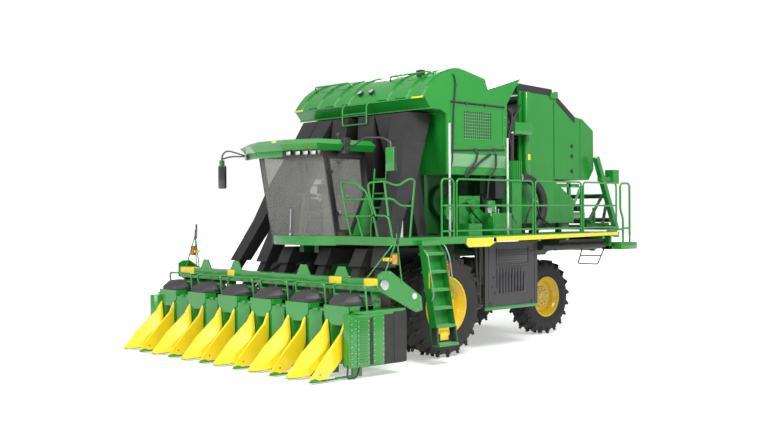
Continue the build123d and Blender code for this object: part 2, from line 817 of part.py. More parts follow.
rear_window = (2860.0, 3600.0)
hinge_heights = (2600.0, 3350.0)
with BuildPart() as cab_frame:
    for side in (-1, 1):
        plane = Plane.YZ.offset(side * cab_half - (60 if side > 0 else 0))
        with BuildSketch(plane):
            Polygon(
                pillar_foot,
                (pillar_foot[0] + 60, pillar_foot[1]),
                (pillar_head[0] + 60, pillar_head[1]),
                pillar_head,
                align=None,
            )
            Polygon(
                (front_axle_y - 1120, cab_floor_top),
                (cab_rear_y, cab_floor_top),
                (rear_y(roof_base), roof_base),
                (rear_y(roof_base) - 90, roof_base),
                (rear_y(2960) - 90, 2960),
                (front_axle_y - 1120, 2280),
                align=None,
            )
            Polygon(
                (pillar_y(roof_base - 70), roof_base - 70),
                (rear_y(roof_base - 70), roof_base - 70),
                (rear_y(roof_base), roof_base),
                pillar_head,
                align=None,
            )
        extrude(amount=60)
    for half, low, high, inner, outer, mode in (
        (cab_half - 60, cab_floor_top, roof_base, -50, 0, Mode.ADD),
        (cab_half - 200, *rear_window, -60, 10, Mode.SUBTRACT),
    ):
        with BuildSketch(Plane.YZ.offset(-half)):
            Polygon(
                (rear_y(low) + inner, low),
                (rear_y(low) + outer, low),
                (rear_y(high) + outer, high),
                (rear_y(high) + inner, high),
                align=None,
            )
        extrude(amount=2 * half, mode=mode)
    box_between(
        (-cab_half + 60, pillar_head[0] + 10, roof_base - 50), (cab_half - 60, pillar_head[0] + 70, roof_base)
    )
    for z in hinge_heights:
        box_between((cab_half, pillar_y(z) + 15, z), (cab_half + 25, pillar_y(z + 60) + 56, z + 60))
finish(cab_frame.part, "cab_frame")

screen_low = cab_floor_top + 5
screen_rise = roof_base - 5 - screen_low
screen_edge = pillar_y(screen_low) - 2
screen_half = cab_half - 10
with BuildPart() as windscreen:
    with BuildSketch(Plane.XY.offset(screen_low)):
        with BuildLine():
            ThreePointArc(
                (-screen_half, screen_edge), (0, screen_edge - screen_bow), (screen_half, screen_edge)
            )
            Line((screen_half, screen_edge), (screen_half, screen_edge - 12))
            ThreePointArc(
                (screen_half, screen_edge - 12),
                (0, screen_edge - screen_bow - 12),
                (-screen_half, screen_edge - 12),
            )
            Line((-screen_half, screen_edge - 12), (-screen_half, screen_edge))
        make_face()
    extrude(amount=screen_rise * sqrt(1 + pillar_lean**2), dir=(0, pillar_lean, 1))
finish(windscreen.part, "windscreen")

with BuildPart() as cab_panes:
    with BuildSketch(Plane.YZ.offset(-cab_half + 20)):
        Polygon(
            (pillar_foot[0] + 62, cab_floor_top + 2),
            (front_axle_y - 1124, cab_floor_top + 2),
            (front_axle_y - 1122, 2282),
            (rear_y(2962) - 92, 2962),
            (rear_y(roof_base - 72) - 92, roof_base - 72),
            (pillar_y(roof_base - 72) + 62, roof_base - 72),
            align=None,
        )
    extrude(amount=8)
    with BuildSketch(Plane.YZ.offset(-cab_half + 200)):
        Polygon(
            (rear_y(rear_window[0]) - 30, rear_window[0]),
            (rear_y(rear_window[0]) - 22, rear_window[0]),
            (rear_y(rear_window[1]) - 22, rear_window[1]),
            (rear_y(rear_window[1]) - 30, rear_window[1]),
            align=None,
        )
    extrude(amount=2 * (cab_half - 200))
finish(cab_panes.part, "cab_panes")

# Front-hinged door beside the leaning pillar, with its pane
door_gap = 8.0
door_top = roof_base - 90.0
door_bar = 42.0
hinge_x = cab_half + 15.0
door_outline = (
    (pillar_y(2290) + 60 + door_gap, 2290.0),
    (front_axle_y - 1120 - door_gap, 2290.0),
    (rear_y(2960) - 90 - door_gap, 2960.0 + door_gap),
    (rear_y(door_top) - 90 - door_gap, door_top),
    (pillar_y(door_top) + 60 + door_gap, door_top),
)
hinge_barrels = []
for z in hinge_heights:
    foot = (hinge_x, pillar_y(z) + 75, z)
    hinge_barrels.append(extrude(Plane(origin=foot, z_dir=(0, pillar_lean, 1)) * Circle(9), amount=60))
with BuildPart() as cab_door:
    with BuildSketch(Plane.YZ.offset(cab_half - 35)):
        Polygon(*door_outline, align=None)
        offset(amount=-door_bar, mode=Mode.SUBTRACT)
    extrude(amount=40)
    for z in hinge_heights:
        box_between((cab_half + 5, pillar_y(z) + 70, z), (cab_half + 25, pillar_y(z) + 130, z + 60))
    add(hinge_barrels)
finish(cab_door.part, "cab_door")

with BuildPart() as door_pane:
    with BuildSketch(Plane.YZ.offset(cab_half - 20)):
        Polygon(*door_outline, align=None)
        offset(amount=-door_bar, mode=Mode.INTERSECT)
    extrude(amount=8)
finish(door_pane.part, "door_pane")

# Columns: height, side half width, corner y, nose y, nose half width, rear y
roof_sections = (
    (roof_base, 1080.0, front_axle_y - 2020.0, front_axle_y - 2280.0, 420.0, front_axle_y - 700.0),
    (roof_base + 110, 1150.0, front_axle_y - 2100.0, front_axle_y - 2380.0, 440.0, front_axle_y - 680.0),
    (roof_base + 200, 1040.0, front_axle_y - 1960.0, front_axle_y - 2220.0, 400.0, front_axle_y - 720.0),
)
roof_solid = flat_sided(
    [
        [
            (-half, rear, z),
            (-half, corner, z),
            (-nose_half, nose, z),
            (nose_half, nose, z),
            (half, corner, z),
            (half, rear, z),
        ]
        for z, half, corner, nose, nose_half, rear in roof_sections
    ]
)
with BuildPart() as cab_roof:
    add(roof_solid)
finish(cab_roof.part, "cab_roof")

with BuildPart() as roof_lamps:
    for x, y in ((-1010.0, -2060.0), (520.0, -2265.0), (700.0, -2200.0), (850.0, -2140.0), (1000.0, -2080.0)):
        box_between(
            (x - 55, front_axle_y + y, roof_base - 95), (x + 55, front_axle_y + y + 90, roof_base)
        )
finish(roof_lamps.part, "roof_lamps")

seat_y = front_axle_y - 1030.0
with BuildPart() as seat:
    box_between((-180, seat_y - 150, cab_floor_top), (180, seat_y + 150, 2560))
    box_between((-260, seat_y - 270, 2560), (260, seat_y + 230, 2680))
    with BuildSketch(Plane.YZ.offset(-250)):
        Polygon(
            (seat_y + 110, 2680), (seat_y + 220, 2680), (seat_y + 240, 3330), (seat_y + 150, 3330), align=None
        )
    extrude(amount=500)
    box_between((-150, seat_y + 150, 3340), (150, seat_y + 240, 3520))
    box_between((-60, seat_y + 170, 3320), (60, seat_y + 220, 3350))
    for side in (-1, 1):
        side_box(side, (275, seat_y - 170, 2860), (365, seat_y + 200, 2920))
        side_box(side, (240, seat_y + 120, 2600), (340, seat_y + 190, 2870))
finish(seat.part, "seat")

with BuildPart() as console:
    box_between((-90, pillar_foot[0] - 100, cab_floor_top), (90, pillar_foot[0] + 60, cab_floor_top + 40))
    for plane, length in runs([(0, pillar_foot[0] - 20, cab_floor_top + 30), (0, pillar_foot[0] + 90, 2960)]):
        with BuildSketch(plane):
            Rectangle(110, 90)
        extrude(amount=length)
        with BuildSketch(plane.offset(length)):
            RegularPolygon(205, 18)
            RegularPolygon(178, 18, mode=Mode.SUBTRACT)
            Rectangle(390, 34)
            RegularPolygon(50, 8)
        extrude(amount=26)
    box_between((400, seat_y - 300, cab_floor_top), (620, seat_y + 280, 2900))
    box_between((400, seat_y - 420, 2900), (620, seat_y + 280, 2960))
finish(console.part, "console")

# Mirrors: a short arm on the right, a long one over the walkway on the left
# Columns: side, bracket y from the front axle, route of the arm from the bracket, low z of the mirror
mirror_arms = (
    (
        -1,
        -1900.0,
        ((1160, -1900, 3730), (1500, -2160, 3860), (1740, -2120, 3770), (1740, -2110, 3620)),
        3120.0,
    ),
    (
        1,
        -1440.0,
        (
            (1160, -1440, 3730),
            (1900, -1640, 3940),
            (2430, -1700, 3910),
            (2600, -1680, 3820),
            (2600, -1680, 3740),
        ),
        3330.0,
    ),
)
mirror_bars = []
for side, bracket_y, route, low in mirror_arms:
    mirror_bars += bars([(side * x, front_axle_y + y, z) for x, y, z in route], 17, overlap=8)
with BuildPart() as mirrors:
    add(mirror_bars)
    for side, bracket_y, route, low in mirror_arms:
        side_box(
            side,
            (1000, front_axle_y + bracket_y - 50, roof_base - 55),
            (1180, front_axle_y + bracket_y + 50, roof_base),
        )
        x, y, z = route[-1]
        side_box(side, (x - 110, front_axle_y + y - 30, low), (x + 110, front_axle_y + y + 30, z))
finish(mirrors.part, "mirrors")

# Walkways with fascia, cut out round the ducts
deck_inner = 1340.0
# Columns: side, y of each cross bar from the front axle
deck_bars = (
    (1, (-560.0, 620.0, 1200.0, 2500.0, 3400.0, 4650.0)),
    (-1, (620.0, 1200.0, 2500.0, 3400.0, 4650.0)),
)
with BuildPart() as platforms:
    with BuildSketch(Plane.XY.offset(platform_top - 40)):
        Polygon(
            (cab_half + 10, platform_y[0]),
            (platform_half - 12, platform_y[0]),
            (platform_half - 12, platform_y[1]),
            (deck_inner, platform_y[1]),
            (deck_inner, front_axle_y - 280),
            (cab_half + 10, front_axle_y - 280),
            align=None,
        )
        with Locations((1945, front_axle_y - 1160), (1450, front_axle_y + 45)):
            Rectangle(440, 470, mode=Mode.SUBTRACT)
        Polygon(
            (-platform_half + 12, front_axle_y + 300),
            (-platform_half + 12, platform_y[1]),
            (-deck_inner, platform_y[1]),
            (-deck_inner, front_axle_y + 300),
            align=None,
        )
    extrude(amount=40)
    for side, bar_ys in deck_bars:
        for y in bar_ys:
            side_box(
                side,
                (1300, front_axle_y + y - 40, platform_top - 140),
                (platform_half - 20, front_axle_y + y + 40, platform_top - 40),
            )
        first = platform_y[0] if side > 0 else front_axle_y + 300
        with BuildSketch(Plane.YZ.offset(side * platform_half - (12 if side > 0 else 0))):
            Polygon(
                (first, platform_top),
                (first, 2070),
                (front_axle_y + 310, 2070),
                (front_axle_y + 400, 1990),
                (front_axle_y + 1000, 1990),
                (front_axle_y + 1180, 2080),
                (front_axle_y + 4700, 2150),
                (front_axle_y + 5050, 2080),
                (platform_y[1], 2080),
                (platform_y[1], platform_top),
                align=None,
            )
        extrude(amount=12)
    box_between(
        (cab_half + 10, platform_y[0] - 12, platform_top - 130),
        (platform_half, platform_y[0], platform_top + 20),
    )
finish(platforms.part, "platforms")

# Railings: hoops of tube along both walkways and across the front, with two lamp poles
# Columns: first y, last y from the front axle
rail_bays = ((-260.0, 60.0), (130.0, 2320.0), (2390.0, 3900.0), (3970.0, 5150.0))
rail_bars = []
for side in (-1, 1):
    x = side * (platform_half - 40)
    for first, last in rail_bays[0 if side > 0 else 1 :]:
        low, high = front_axle_y + max(first, 330 if side < 0 else first), front_axle_y + last
        hoop = [
            (x, low, platform_top), (x, low, rail_top - 70), (x, low + 70, rail_top),
            (x, high - 70, rail_top), (x, high, rail_top - 70), (x, high, platform_top),
        ]
        rail_bars += bars(hoop, rail_r)
        rail_bars += bars([(x, low, rail_mid), (x, high, rail_mid)], rail_r)
        rail_bars += bars([(x, low, platform_top + 100), (x, high, platform_top + 100)], rail_r)
rail_foot = platform_top + 14
# Routes of the shaped front hoops; columns: x, y from the front axle, z
front_rails = (
    ((1308, -1686, 3188), (1691, -1683, 3174), (1966, -1647, 2983), (2040, -1572, 2580), (1332, -1572, 2580)),
    ((1308, -1686, 3188), (1348, -1480, rail_foot)),
    ((1617, -1572, 2580), (1660, -1480, rail_foot)),
    ((2040, -1572, 2580), (2050, -1480, rail_foot)),
    ((1318, -1626, 2872), (2410, -1468, 2877), (2410, -1289, 2753), (2410, -1001, 2753)),
    (
        (2013, -1679, 3152),
        (2410, -1662, 3174),
        (2410, -1431, 3107),
        (2410, -1303, 3110),
        (2410, -1063, 3231),
        (2410, -931, 3207),
        (2410, -991, 2767),
        (2410, -1060, rail_foot),
    ),
    (
        (2013, -1679, 3152),
        (2013, -1637, 2929),
        (2099, -1575, 2590),
        (2410, -1570, 2580),
        (2410, -1480, rail_foot),
    ),
    ((2410, -1570, 2580), (2410, -1662, 3174)),
)
for route in front_rails:
    rail_bars += bars([(x, front_axle_y + y, z) for x, y, z in route], rail_r, overlap=6)
pole_x = platform_half - 110
for y, high in ((30.0, 4250.0), (1650.0, 4050.0)):
    pole = [(pole_x, front_axle_y + y, platform_top), (pole_x, front_axle_y + y, high)]
    rail_bars += bars(pole, 22)
with BuildPart() as railings:
    add(rail_bars)
finish(railings.part, "railings")

# Access ladder leaning out from the walkway, closed behind its treads
ladder_top = (2470.0, 2150.0)
ladder_foot = (2850.0, 340.0)
ladder_back_foot_z = 640.0
ladder_y = (front_axle_y - 900.0, front_axle_y - 430.0)
ladder_lean = (ladder_foot[0] - ladder_top[0]) / (ladder_foot[1] - ladder_top[1])


def ladder_x(z):
    """The ladder's middle x at a height."""
    return ladder_top[0] + ladder_lean * (z - ladder_top[1])


with BuildPart() as access_ladder:
    for y in ladder_y:
        with BuildSketch(Plane.XZ.offset(-y)):
            Polygon(
                ladder_top,
                (ladder_top[0] + 190, ladder_top[1] - 250),
                (ladder_foot[0] + 110, ladder_foot[1]),
                (ladder_foot[0] - 60, ladder_foot[1]),
                align=None,
            )
        extrude(amount=12)
    for i in range(6):
        z = ladder_foot[1] + i * 310
        box_between((ladder_x(z) - 55, ladder_y[0] - 12, z), (ladder_x(z) + 120, ladder_y[1], z + 40))
    with BuildSketch(Plane.XZ.offset(-ladder_y[1])):
        Polygon(
            (ladder_x(ladder_back_foot_z) - 55, ladder_back_foot_z),
            (ladder_x(ladder_back_foot_z) - 40, ladder_back_foot_z),
            (ladder_x(2100) - 5, 2100),
            (ladder_x(2100) - 20, 2100),
            align=None,
        )
    extrude(amount=ladder_y[1] - ladder_y[0])
    box_between((ladder_top[0] - 20, ladder_y[0] - 12, 2060), (ladder_top[0] + 90, ladder_y[1], 2150))
finish(access_ladder.part, "access_ladder")

# Upright ladder behind the cab door to the roof
roof_ladder_x = (1120.0, 1440.0)
roof_ladder_ends = ((front_axle_y - 800.0, platform_top + 3), (front_axle_y - 690.0, 3450.0))
roof_ladder_bars = []
for x in roof_ladder_x:
    roof_ladder_bars += bars([(x, *roof_ladder_ends[0]), (x, *roof_ladder_ends[1])], 17)
for i in range(1, 5):
    share = 0.21 * i
    rung_y = roof_ladder_ends[0][0] + share * (roof_ladder_ends[1][0] - roof_ladder_ends[0][0])
    rung_z = roof_ladder_ends[0][1] + share * (roof_ladder_ends[1][1] - roof_ladder_ends[0][1])
    roof_ladder_bars += bars([(roof_ladder_x[0], rung_y, rung_z), (roof_ladder_x[1], rung_y, rung_z)], 13)
with BuildPart() as roof_ladder:
    add(roof_ladder_bars)
finish(roof_ladder.part, "roof_ladder")

with BuildPart() as washer_tank:
    with BuildSketch(Plane.XY.offset(platform_top)):
        with Locations((1540, front_axle_y - 540)):
            RegularPolygon(120, 12)
    extrude(amount=560)
    with BuildSketch(Plane.XY.offset(platform_top + 560)):
        with Locations((1540, front_axle_y - 540)):
            RegularPolygon(60, 12)
    extrude(amount=50)
finish(washer_tank.part, "washer_tank")

# Machinery on the deck below and behind the accumulator
cooler_y = (front_axle_y + 2190.0, front_axle_y + 2480.0)
cooler_x = (1740.0, 2000.0)
cooler_top = 3650.0
with BuildPart() as cooler_boxes:
    for side in (-1, 1):
        side_box(side, (1360, front_axle_y + 900, platform_top), (1760, front_axle_y + 1500, 2950))
        side_box(side, (1850, front_axle_y + 750, platform_top), (2150, front_axle_y + 1120, 2420))
    box_between((cooler_x[0], cooler_y[0], platform_top), (cooler_x[1], cooler_y[1], cooler_top))
    for i in range(5):
        y = cooler_y[0] + 20 + i * 55
        box_between((cooler_x[1], y, 3240), (cooler_x[1] + 25, y + 28, cooler_top))
finish(cooler_boxes.part, "cooler_boxes")

with BuildPart() as air_cleaner:
    with BuildSketch(Plane.XZ.offset(-front_axle_y - 1560)):
        with Locations((1600, 2800)):
            RegularPolygon(190, 16)
    extrude(amount=-560)
    box_between((1500, front_axle_y + 1640, platform_top), (1700, front_axle_y + 1720, 2700))
    box_between((1500, front_axle_y + 1960, platform_top), (1700, front_axle_y + 2040, 2700))
    box_between((1700, front_axle_y + 1800, 2900), (1900, front_axle_y + 2060, 3330))
finish(air_cleaner.part, "air_cleaner")

# Columns: x, y from the front axle, z
hose_route = (
    (1870, 2525, 3330), (1870, 2900, 3280), (1870, 3230, 3060), (1870, 3350, 2720), (1870, 3230, 2420),
    (1870, 2980, platform_top),
)
pipe_route = ((1870, 2340, cooler_top + 10), (1870, 2350, 4450), (1870, 2300, 4640), (1870, 2200, 4700))
hose_bars = bars([(x, front_axle_y + y, z) for x, y, z in hose_route], 95, overlap=25)
hose_bars += bars([(x, front_axle_y + y, z) for x, y, z in pipe_route], 45, overlap=8)
with BuildPart() as bay_hoses:
    add(hose_bars)
    low = (1600, front_axle_y + 2700, 2000)
    box_between(low, (2100, front_axle_y + 3300, platform_top), mode=Mode.SUBTRACT)
finish(bay_hoses.part, "bay_hoses")

step_route = [
    (2410, platform_y[1] + 450, 1970), (2410, platform_y[1] + 450, rail_top - 60),
    (2410, platform_y[1] + 380, rail_top), (2410, platform_y[1] + 10, rail_top),
]
step_bars = bars(step_route, rail_r + 6)
with BuildPart() as rear_steps:
    add(step_bars)
    box_between((2070, platform_y[1] + 2, 1820), (2500, platform_y[1] + 600, 1970))
    box_between((2100, platform_y[1] - 140, 1820), (2300, platform_y[1] + 40, 1900))
    box_between((2100, platform_y[1] - 140, 1820), (2300, platform_y[1] - 60, platform_top - 40))
finish(rear_steps.part, "rear_steps")

# Tyres: many-sided carcass with chevron lugs; the bead seats share their faces with the rims
def tyre_solid(tip_r, bore_r, width, lean):
    """One tyre about the X axis with its middle at the origin."""
    half = width / 2
    tread_r = tip_r - lug_height
    carcass = flat_sided(
        [
            round_ring(x, r, tyre_sides)
            for x, r in (
                (-half, bore_r + 0.45 * (tread_r - bore_r)),
                (-half + 14, tread_r - 55),
                (-half + 75, tread_r),
                (half - 75, tread_r),
                (half - 14, tread_r - 55),
                (half, bore_r + 0.45 * (tread_r - bore_r)),
            )
        ]
    )
    with BuildPart() as tyre:
        add(carcass)
        lug_length = 0.54 * width
        reach = (lug_width * cos(radians(lean)) + lug_length * sin(radians(lean))) / 2
        lug_top = sqrt(tip_r**2 - reach**2)
        spots = []
        for i in range(tyre_sides):
            turn = 360.0 * i / tyre_sides + degrees(asin(reach / tip_r))
            side = 1 if i % 2 else -1
            across = Location((side * (0.25 * width - 4), 0, lug_top - lug_height), (0, 0, side * lean))
            spots.append(Location((0, 0, 0), (turn, 0, 0)) * across)
        with Locations(*spots):
            Box(lug_length, lug_width, 2 * lug_height)
        with BuildSketch(Plane.YZ.offset(-half - 60)):
            RegularPolygon(bore_r, tyre_sides)
        extrude(amount=width + 120, mode=Mode.SUBTRACT)
    return tyre.part


def rim_solid(seat_r, width, dish):
    """One rim about the X axis, its disc set in from the outer face by the dish depth."""
    half = width / 2
    recesses = [
        flat_sided(
            [round_ring(start, seat_r - 26, tyre_sides), round_ring(start + run, seat_r - 90, tyre_sides)]
        )
        for start, run in ((half, -dish), (-half, width - dish - 40))
    ]
    with BuildPart() as rim:
        with BuildSketch(Plane.YZ.offset(-half)):
            RegularPolygon(seat_r, tyre_sides)
        extrude(amount=width)
        add(recesses, mode=Mode.SUBTRACT)
    return rim.part


front_tyre = tyre_solid(front_tip_r, front_rim_r, front_width, 40.0)
rear_tyre = tyre_solid(rear_tip_r, rear_rim_r, rear_width, 40.0)
front_rim = rim_solid(front_rim_r, front_width - 40, 190.0)
rear_rim = rim_solid(rear_rim_r, rear_width - 40, 150.0)

for side, word in ((-1, "right"), (1, "left")):
    with BuildPart() as front_tyres:
        for x in dual_centres:
            add(front_tyre.moved(Location((side * x, front_axle_y, front_tip_r))))
    finish(front_tyres.part, f"front_tyres_{word}")

    with BuildPart() as front_rims:
        for x in dual_centres:
            turned = front_rim if side > 0 else front_rim.mirror(Plane.YZ)
            add(turned.moved(Location((side * x, front_axle_y, front_tip_r))))
        with Locations((side * 1425, front_axle_y, front_tip_r)):
            Cylinder(150, 1329, rotation=(0, 90, 0))
    finish(front_rims.part, f"front_rims_{word}")

    with BuildPart() as rear_tyre_node:
        add(rear_tyre.moved(Location((side * rear_track, rear_axle_y, rear_tip_r))))
    finish(rear_tyre_node.part, f"rear_tyre_{word}")

    with BuildPart() as rear_rim_node:
        turned = rear_rim if side > 0 else rear_rim.mirror(Plane.YZ)
        add(turned.moved(Location((side * rear_track, rear_axle_y, rear_tip_r))))
        with Locations((side * (rear_track - 20), rear_axle_y, rear_tip_r)):
            Cylinder(120, 250, rotation=(0, 90, 0))
        with Locations((side * (rear_track - 70), rear_axle_y, rear_tip_r)):
            Cylinder(60 + running_gap, 170, rotation=(0, 90, 0), mode=Mode.SUBTRACT)
    finish(rear_rim_node.part, f"rear_rim_{word}")

    with BuildPart() as knuckle:
        with Locations((side * king_pin_x, rear_axle_y, rear_tip_r)):
            Cylinder(king_pin_r, 262)
            Box(100, 110, 168)
        with Locations((side * (king_pin_x + 190), rear_axle_y, rear_tip_r)):
            Cylinder(60, 360, rotation=(0, 90, 0))
    finish(knuckle.part, f"knuckle_{word}")
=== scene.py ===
# %% [markdown]
# # Dressing a cotton picker
# A cotton picker is a tall harvester. A low header with yellow points strips the plants, black ducts
# blow the cotton up over the cab, and a big green box at the back packs it into a round module.
# The solid model is already there, as a fixed frame of named nodes. This lesson adds what a solid
# model leaves out: paint, rubber and glass, rounded tyres, bolts, louvres, lamps and hoses.

# %% The fixed frame and its box
from math import atan2, cos, pi, radians, sin, sqrt, tau

import bpy
from mathutils import Matrix, Vector


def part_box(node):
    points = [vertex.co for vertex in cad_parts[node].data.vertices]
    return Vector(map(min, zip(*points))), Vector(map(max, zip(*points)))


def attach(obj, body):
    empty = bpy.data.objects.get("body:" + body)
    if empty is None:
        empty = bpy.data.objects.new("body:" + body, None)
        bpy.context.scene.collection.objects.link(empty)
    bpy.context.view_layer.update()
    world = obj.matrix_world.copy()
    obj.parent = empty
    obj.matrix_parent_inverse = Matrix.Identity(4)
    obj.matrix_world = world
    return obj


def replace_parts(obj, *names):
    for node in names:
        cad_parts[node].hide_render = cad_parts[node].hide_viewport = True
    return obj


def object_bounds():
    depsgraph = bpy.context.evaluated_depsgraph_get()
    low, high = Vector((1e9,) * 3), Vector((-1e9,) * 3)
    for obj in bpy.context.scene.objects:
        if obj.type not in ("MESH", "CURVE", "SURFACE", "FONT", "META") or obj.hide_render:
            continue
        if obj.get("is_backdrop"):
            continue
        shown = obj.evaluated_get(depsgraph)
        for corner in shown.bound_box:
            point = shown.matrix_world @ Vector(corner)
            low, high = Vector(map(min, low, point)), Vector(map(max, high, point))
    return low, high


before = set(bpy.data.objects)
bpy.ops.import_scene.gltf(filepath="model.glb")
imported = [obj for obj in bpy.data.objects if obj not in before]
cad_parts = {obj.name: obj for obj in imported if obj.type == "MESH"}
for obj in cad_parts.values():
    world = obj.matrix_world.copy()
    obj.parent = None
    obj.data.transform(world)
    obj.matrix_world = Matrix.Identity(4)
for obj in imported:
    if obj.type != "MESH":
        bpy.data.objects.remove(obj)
cad_low, cad_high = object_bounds()
print("nodes", len(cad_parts), "box", cad_low, cad_high)

# %% [markdown]
# ## The camera
# The picture was taken from the front left with a long lens, about as high as the walkway. A camera
# turns three times: yaw about the upright, pitch up or down, and a touch of roll. Building its axes
# from those three angles keeps the numbers readable.

# %% Camera at the picture's viewpoint
photo_size = (760, 428)
focal_pixels = 1035.81
sensor_width = 36.0
camera_place = Vector((15.1899, -15.02116, 2.64838))
yaw, pitch, roll = radians(47.0287), radians(0.1049), radians(-0.3253)

camera_data = bpy.data.cameras.new("picture_camera")
camera_data.sensor_width = sensor_width
camera_data.lens = focal_pixels * sensor_width / photo_size[0]
camera_data.clip_end = 200.0
camera = bpy.data.objects.new("picture_camera", camera_data)
bpy.context.scene.collection.objects.link(camera)
back = Vector((sin(yaw) * cos(pitch), -cos(yaw) * cos(pitch), sin(pitch)))
right = Vector((cos(yaw), sin(yaw), 0.0))
up = back.cross(right)
turned_right = right * cos(roll) + up * sin(roll)
turned_up = up * cos(roll) - right * sin(roll)
camera.matrix_world = Matrix.Translation(camera_place) @ Matrix(
    (turned_right, turned_up, back)
).transposed().to_4x4()
bpy.context.scene.camera = camera
bpy.context.scene.view_settings.view_transform = "Standard"
print("lens", round(camera_data.lens, 2), "mm")

# %% [markdown]
# ## Sums with sockets
# A procedural finish is mostly arithmetic on noise. Wiring each sum by hand hides the idea, so one
# small class lets an expression such as `1 - mask * 0.3` add its Math nodes by itself.

# %% A socket that takes part in sums
class Amount:
    """One number from a node, which adds Math nodes when it is used in a sum."""

    def __init__(self, finish, socket):
        self.finish, self.socket = finish, socket

    def sum_node(self, operation, first, second):
        return self.finish.node("ShaderNodeMath", {"operation": operation}, {0: first, 1: second})

    def __add__(self, other):
        return self.sum_node("ADD", self, other)

    __radd__ = __add__

    def __mul__(self, other):
        return self.sum_node("MULTIPLY", self, other)

    __rmul__ = __mul__

    def __sub__(self, other):
        return self.sum_node("SUBTRACT", self, other)

    def __rsub__(self, other):
        return self.sum_node("SUBTRACT", other, self)

    def __gt__(self, other):
        return self.sum_node("GREATER_THAN", self, other)

    def __lt__(self, other):
        return self.sum_node("LESS_THAN", self, other)


print("values can be summed")

# %% A finish: one material and the steps that build it
class Finish:
    """A material whose nodes are added one by one."""

    def __init__(self, name):
        self.material = bpy.data.materials.new(name)
        self.material.use_nodes = True
        self.tree = self.material.node_tree
        self.shader = self.tree.nodes["Principled BSDF"]

    def put(self, socket, value):
        if isinstance(value, Amount):
            self.tree.links.new(value.socket, socket)
        elif hasattr(socket.default_value, "__len__") and len(socket.default_value) == 4 and len(value) == 3:
            socket.default_value = (*value, 1.0)
        else:
            socket.default_value = value

    def node(self, kind, settings=None, values=None, output=0):
        made = self.tree.nodes.new(kind)
        for key, value in (settings or {}).items():
            if key == "stops":
                ramp = made.color_ramp.elements
                while len(ramp) < len(value):
                    ramp.new(0.5)
                for element, (position, level) in zip(ramp, value):
                    element.position, element.color = position, (level, level, level, 1.0)
            else:
                setattr(made, key, value)
        for key, value in (values or {}).items():
            self.put(made.inputs[key], value)
        return Amount(self, made.outputs[output])

    def surface(self, **values):
        """Sets the shader's sockets, with spaces for underscores."""
        for key, value in values.items():
            self.put(self.shader.inputs[key.replace("_", " ")], value)

    def place(self):
        return self.node("ShaderNodeTexCoord", output=3)

    def noise(self, scale, detail=3.0, roughness=0.5, squeeze=(1.0, 1.0, 1.0)):
        spot = self.node("ShaderNodeMapping", None, {"Vector": self.place(), "Scale": squeeze})
        return self.node(
            "ShaderNodeTexNoise", None, {
                "Vector": spot, "Scale": scale, "Detail": detail, "Roughness": roughness
            }
        )

    def ramp(self, amount, *stops):
        return self.node("ShaderNodeValToRGB", {"stops": stops}, {"Fac": amount})

    def mix(self, amount, first, second, how="MIX"):
        return self.node(
            "ShaderNodeMix", {
                "data_type": "RGBA", "blend_type": how
            }, {0: amount, 6: first, 7: second}, output=2
        )

    def bump(self, height, depth, strength=1.0):
        return self.node("ShaderNodeBump", None, {"Height": height, "Distance": depth, "Strength": strength})

    def height(self):
        """How high above the ground each point is, in metres."""
        return self.node("ShaderNodeSeparateXYZ", None, {0: self.place()}, output=2)


print("finishes can be built")

# %% [markdown]
# ## Paint
# Farm machines wear thick gloss paint over pressed steel. It has a fine orange peel, a clear top
# coat, slight fading from panel to panel, and a haze of field dust that is strongest near the ground.
# A single colour would look like plastic, so the dust and the fade are both noise masks on the colour.

# %% Gloss paints
def gloss_paint(name, colour, dust=0.25, coat=0.6, roughness=0.3):
    finish = Finish(name)
    fade = finish.ramp(finish.noise(0.9, 2.0), (0.3, 0.0), (0.7, 1.0))
    speckle = finish.ramp(finish.noise(38.0, 4.0, 0.6), (0.45, 0.0), (0.8, 1.0))
    streaks = finish.ramp(finish.noise(3.0, 5.0, 0.65, (3.0, 3.0, 0.35)), (0.48, 0.0), (0.8, 1.0))
    low_down = finish.ramp(finish.height() * 0.4, (0.05, 1.0), (0.9, 0.12))
    dirt = (streaks * 0.6 + speckle * 0.4) * low_down * dust
    pale = tuple(min(1.0, c * 1.12 + 0.004) for c in colour)
    faded = finish.mix(fade * 0.7, colour, pale)
    finish.surface(
        Base_Color=finish.mix(dirt, faded, (0.2, 0.155, 0.1)),
        Roughness=dirt * 0.9 + speckle * 0.05 + roughness,
        Normal=finish.bump(finish.noise(240.0, 2.0), 0.0006, 0.25),
        Coat_Weight=coat - dirt * coat,
        Coat_Roughness=0.08,
    )
    return finish.material


green_paint = gloss_paint("green_gloss_paint", (0.006, 0.225, 0.02))
yellow_paint = gloss_paint("yellow_gloss_paint", (0.85, 0.62, 0.006), dust=0.2)
wheel_paint = gloss_paint("wheel_yellow_paint", (0.72, 0.47, 0.006), dust=0.3, coat=0.3)
black_paint = gloss_paint("black_gloss_paint", (0.012, 0.012, 0.013), dust=0.22, coat=0.4)
# A darker copy of the green paint, with heavier dust. Its darkness is painted shade, for the frame, axles and parts
# that sit in shadow under and behind the box.
shade_darkened_green = gloss_paint(
    "shaded_frame_paint", (0.004, 0.09, 0.012), dust=0.45, coat=0.2, roughness=0.45
)
hatch_paint = gloss_paint("charcoal_panel_paint", (0.035, 0.035, 0.04), dust=0.3, coat=0.1, roughness=0.5)
pole_paint = gloss_paint("pale_pole_paint", (0.5, 0.52, 0.5), dust=0.15)
# A paler copy of the green paint: painted highlight on the ladder's treads and rails and on the screen's wires, where
# light catches them.
highlight_painted_green = gloss_paint("painted_highlight_green", (0.12, 0.36, 0.14), dust=0.3, coat=0.3)
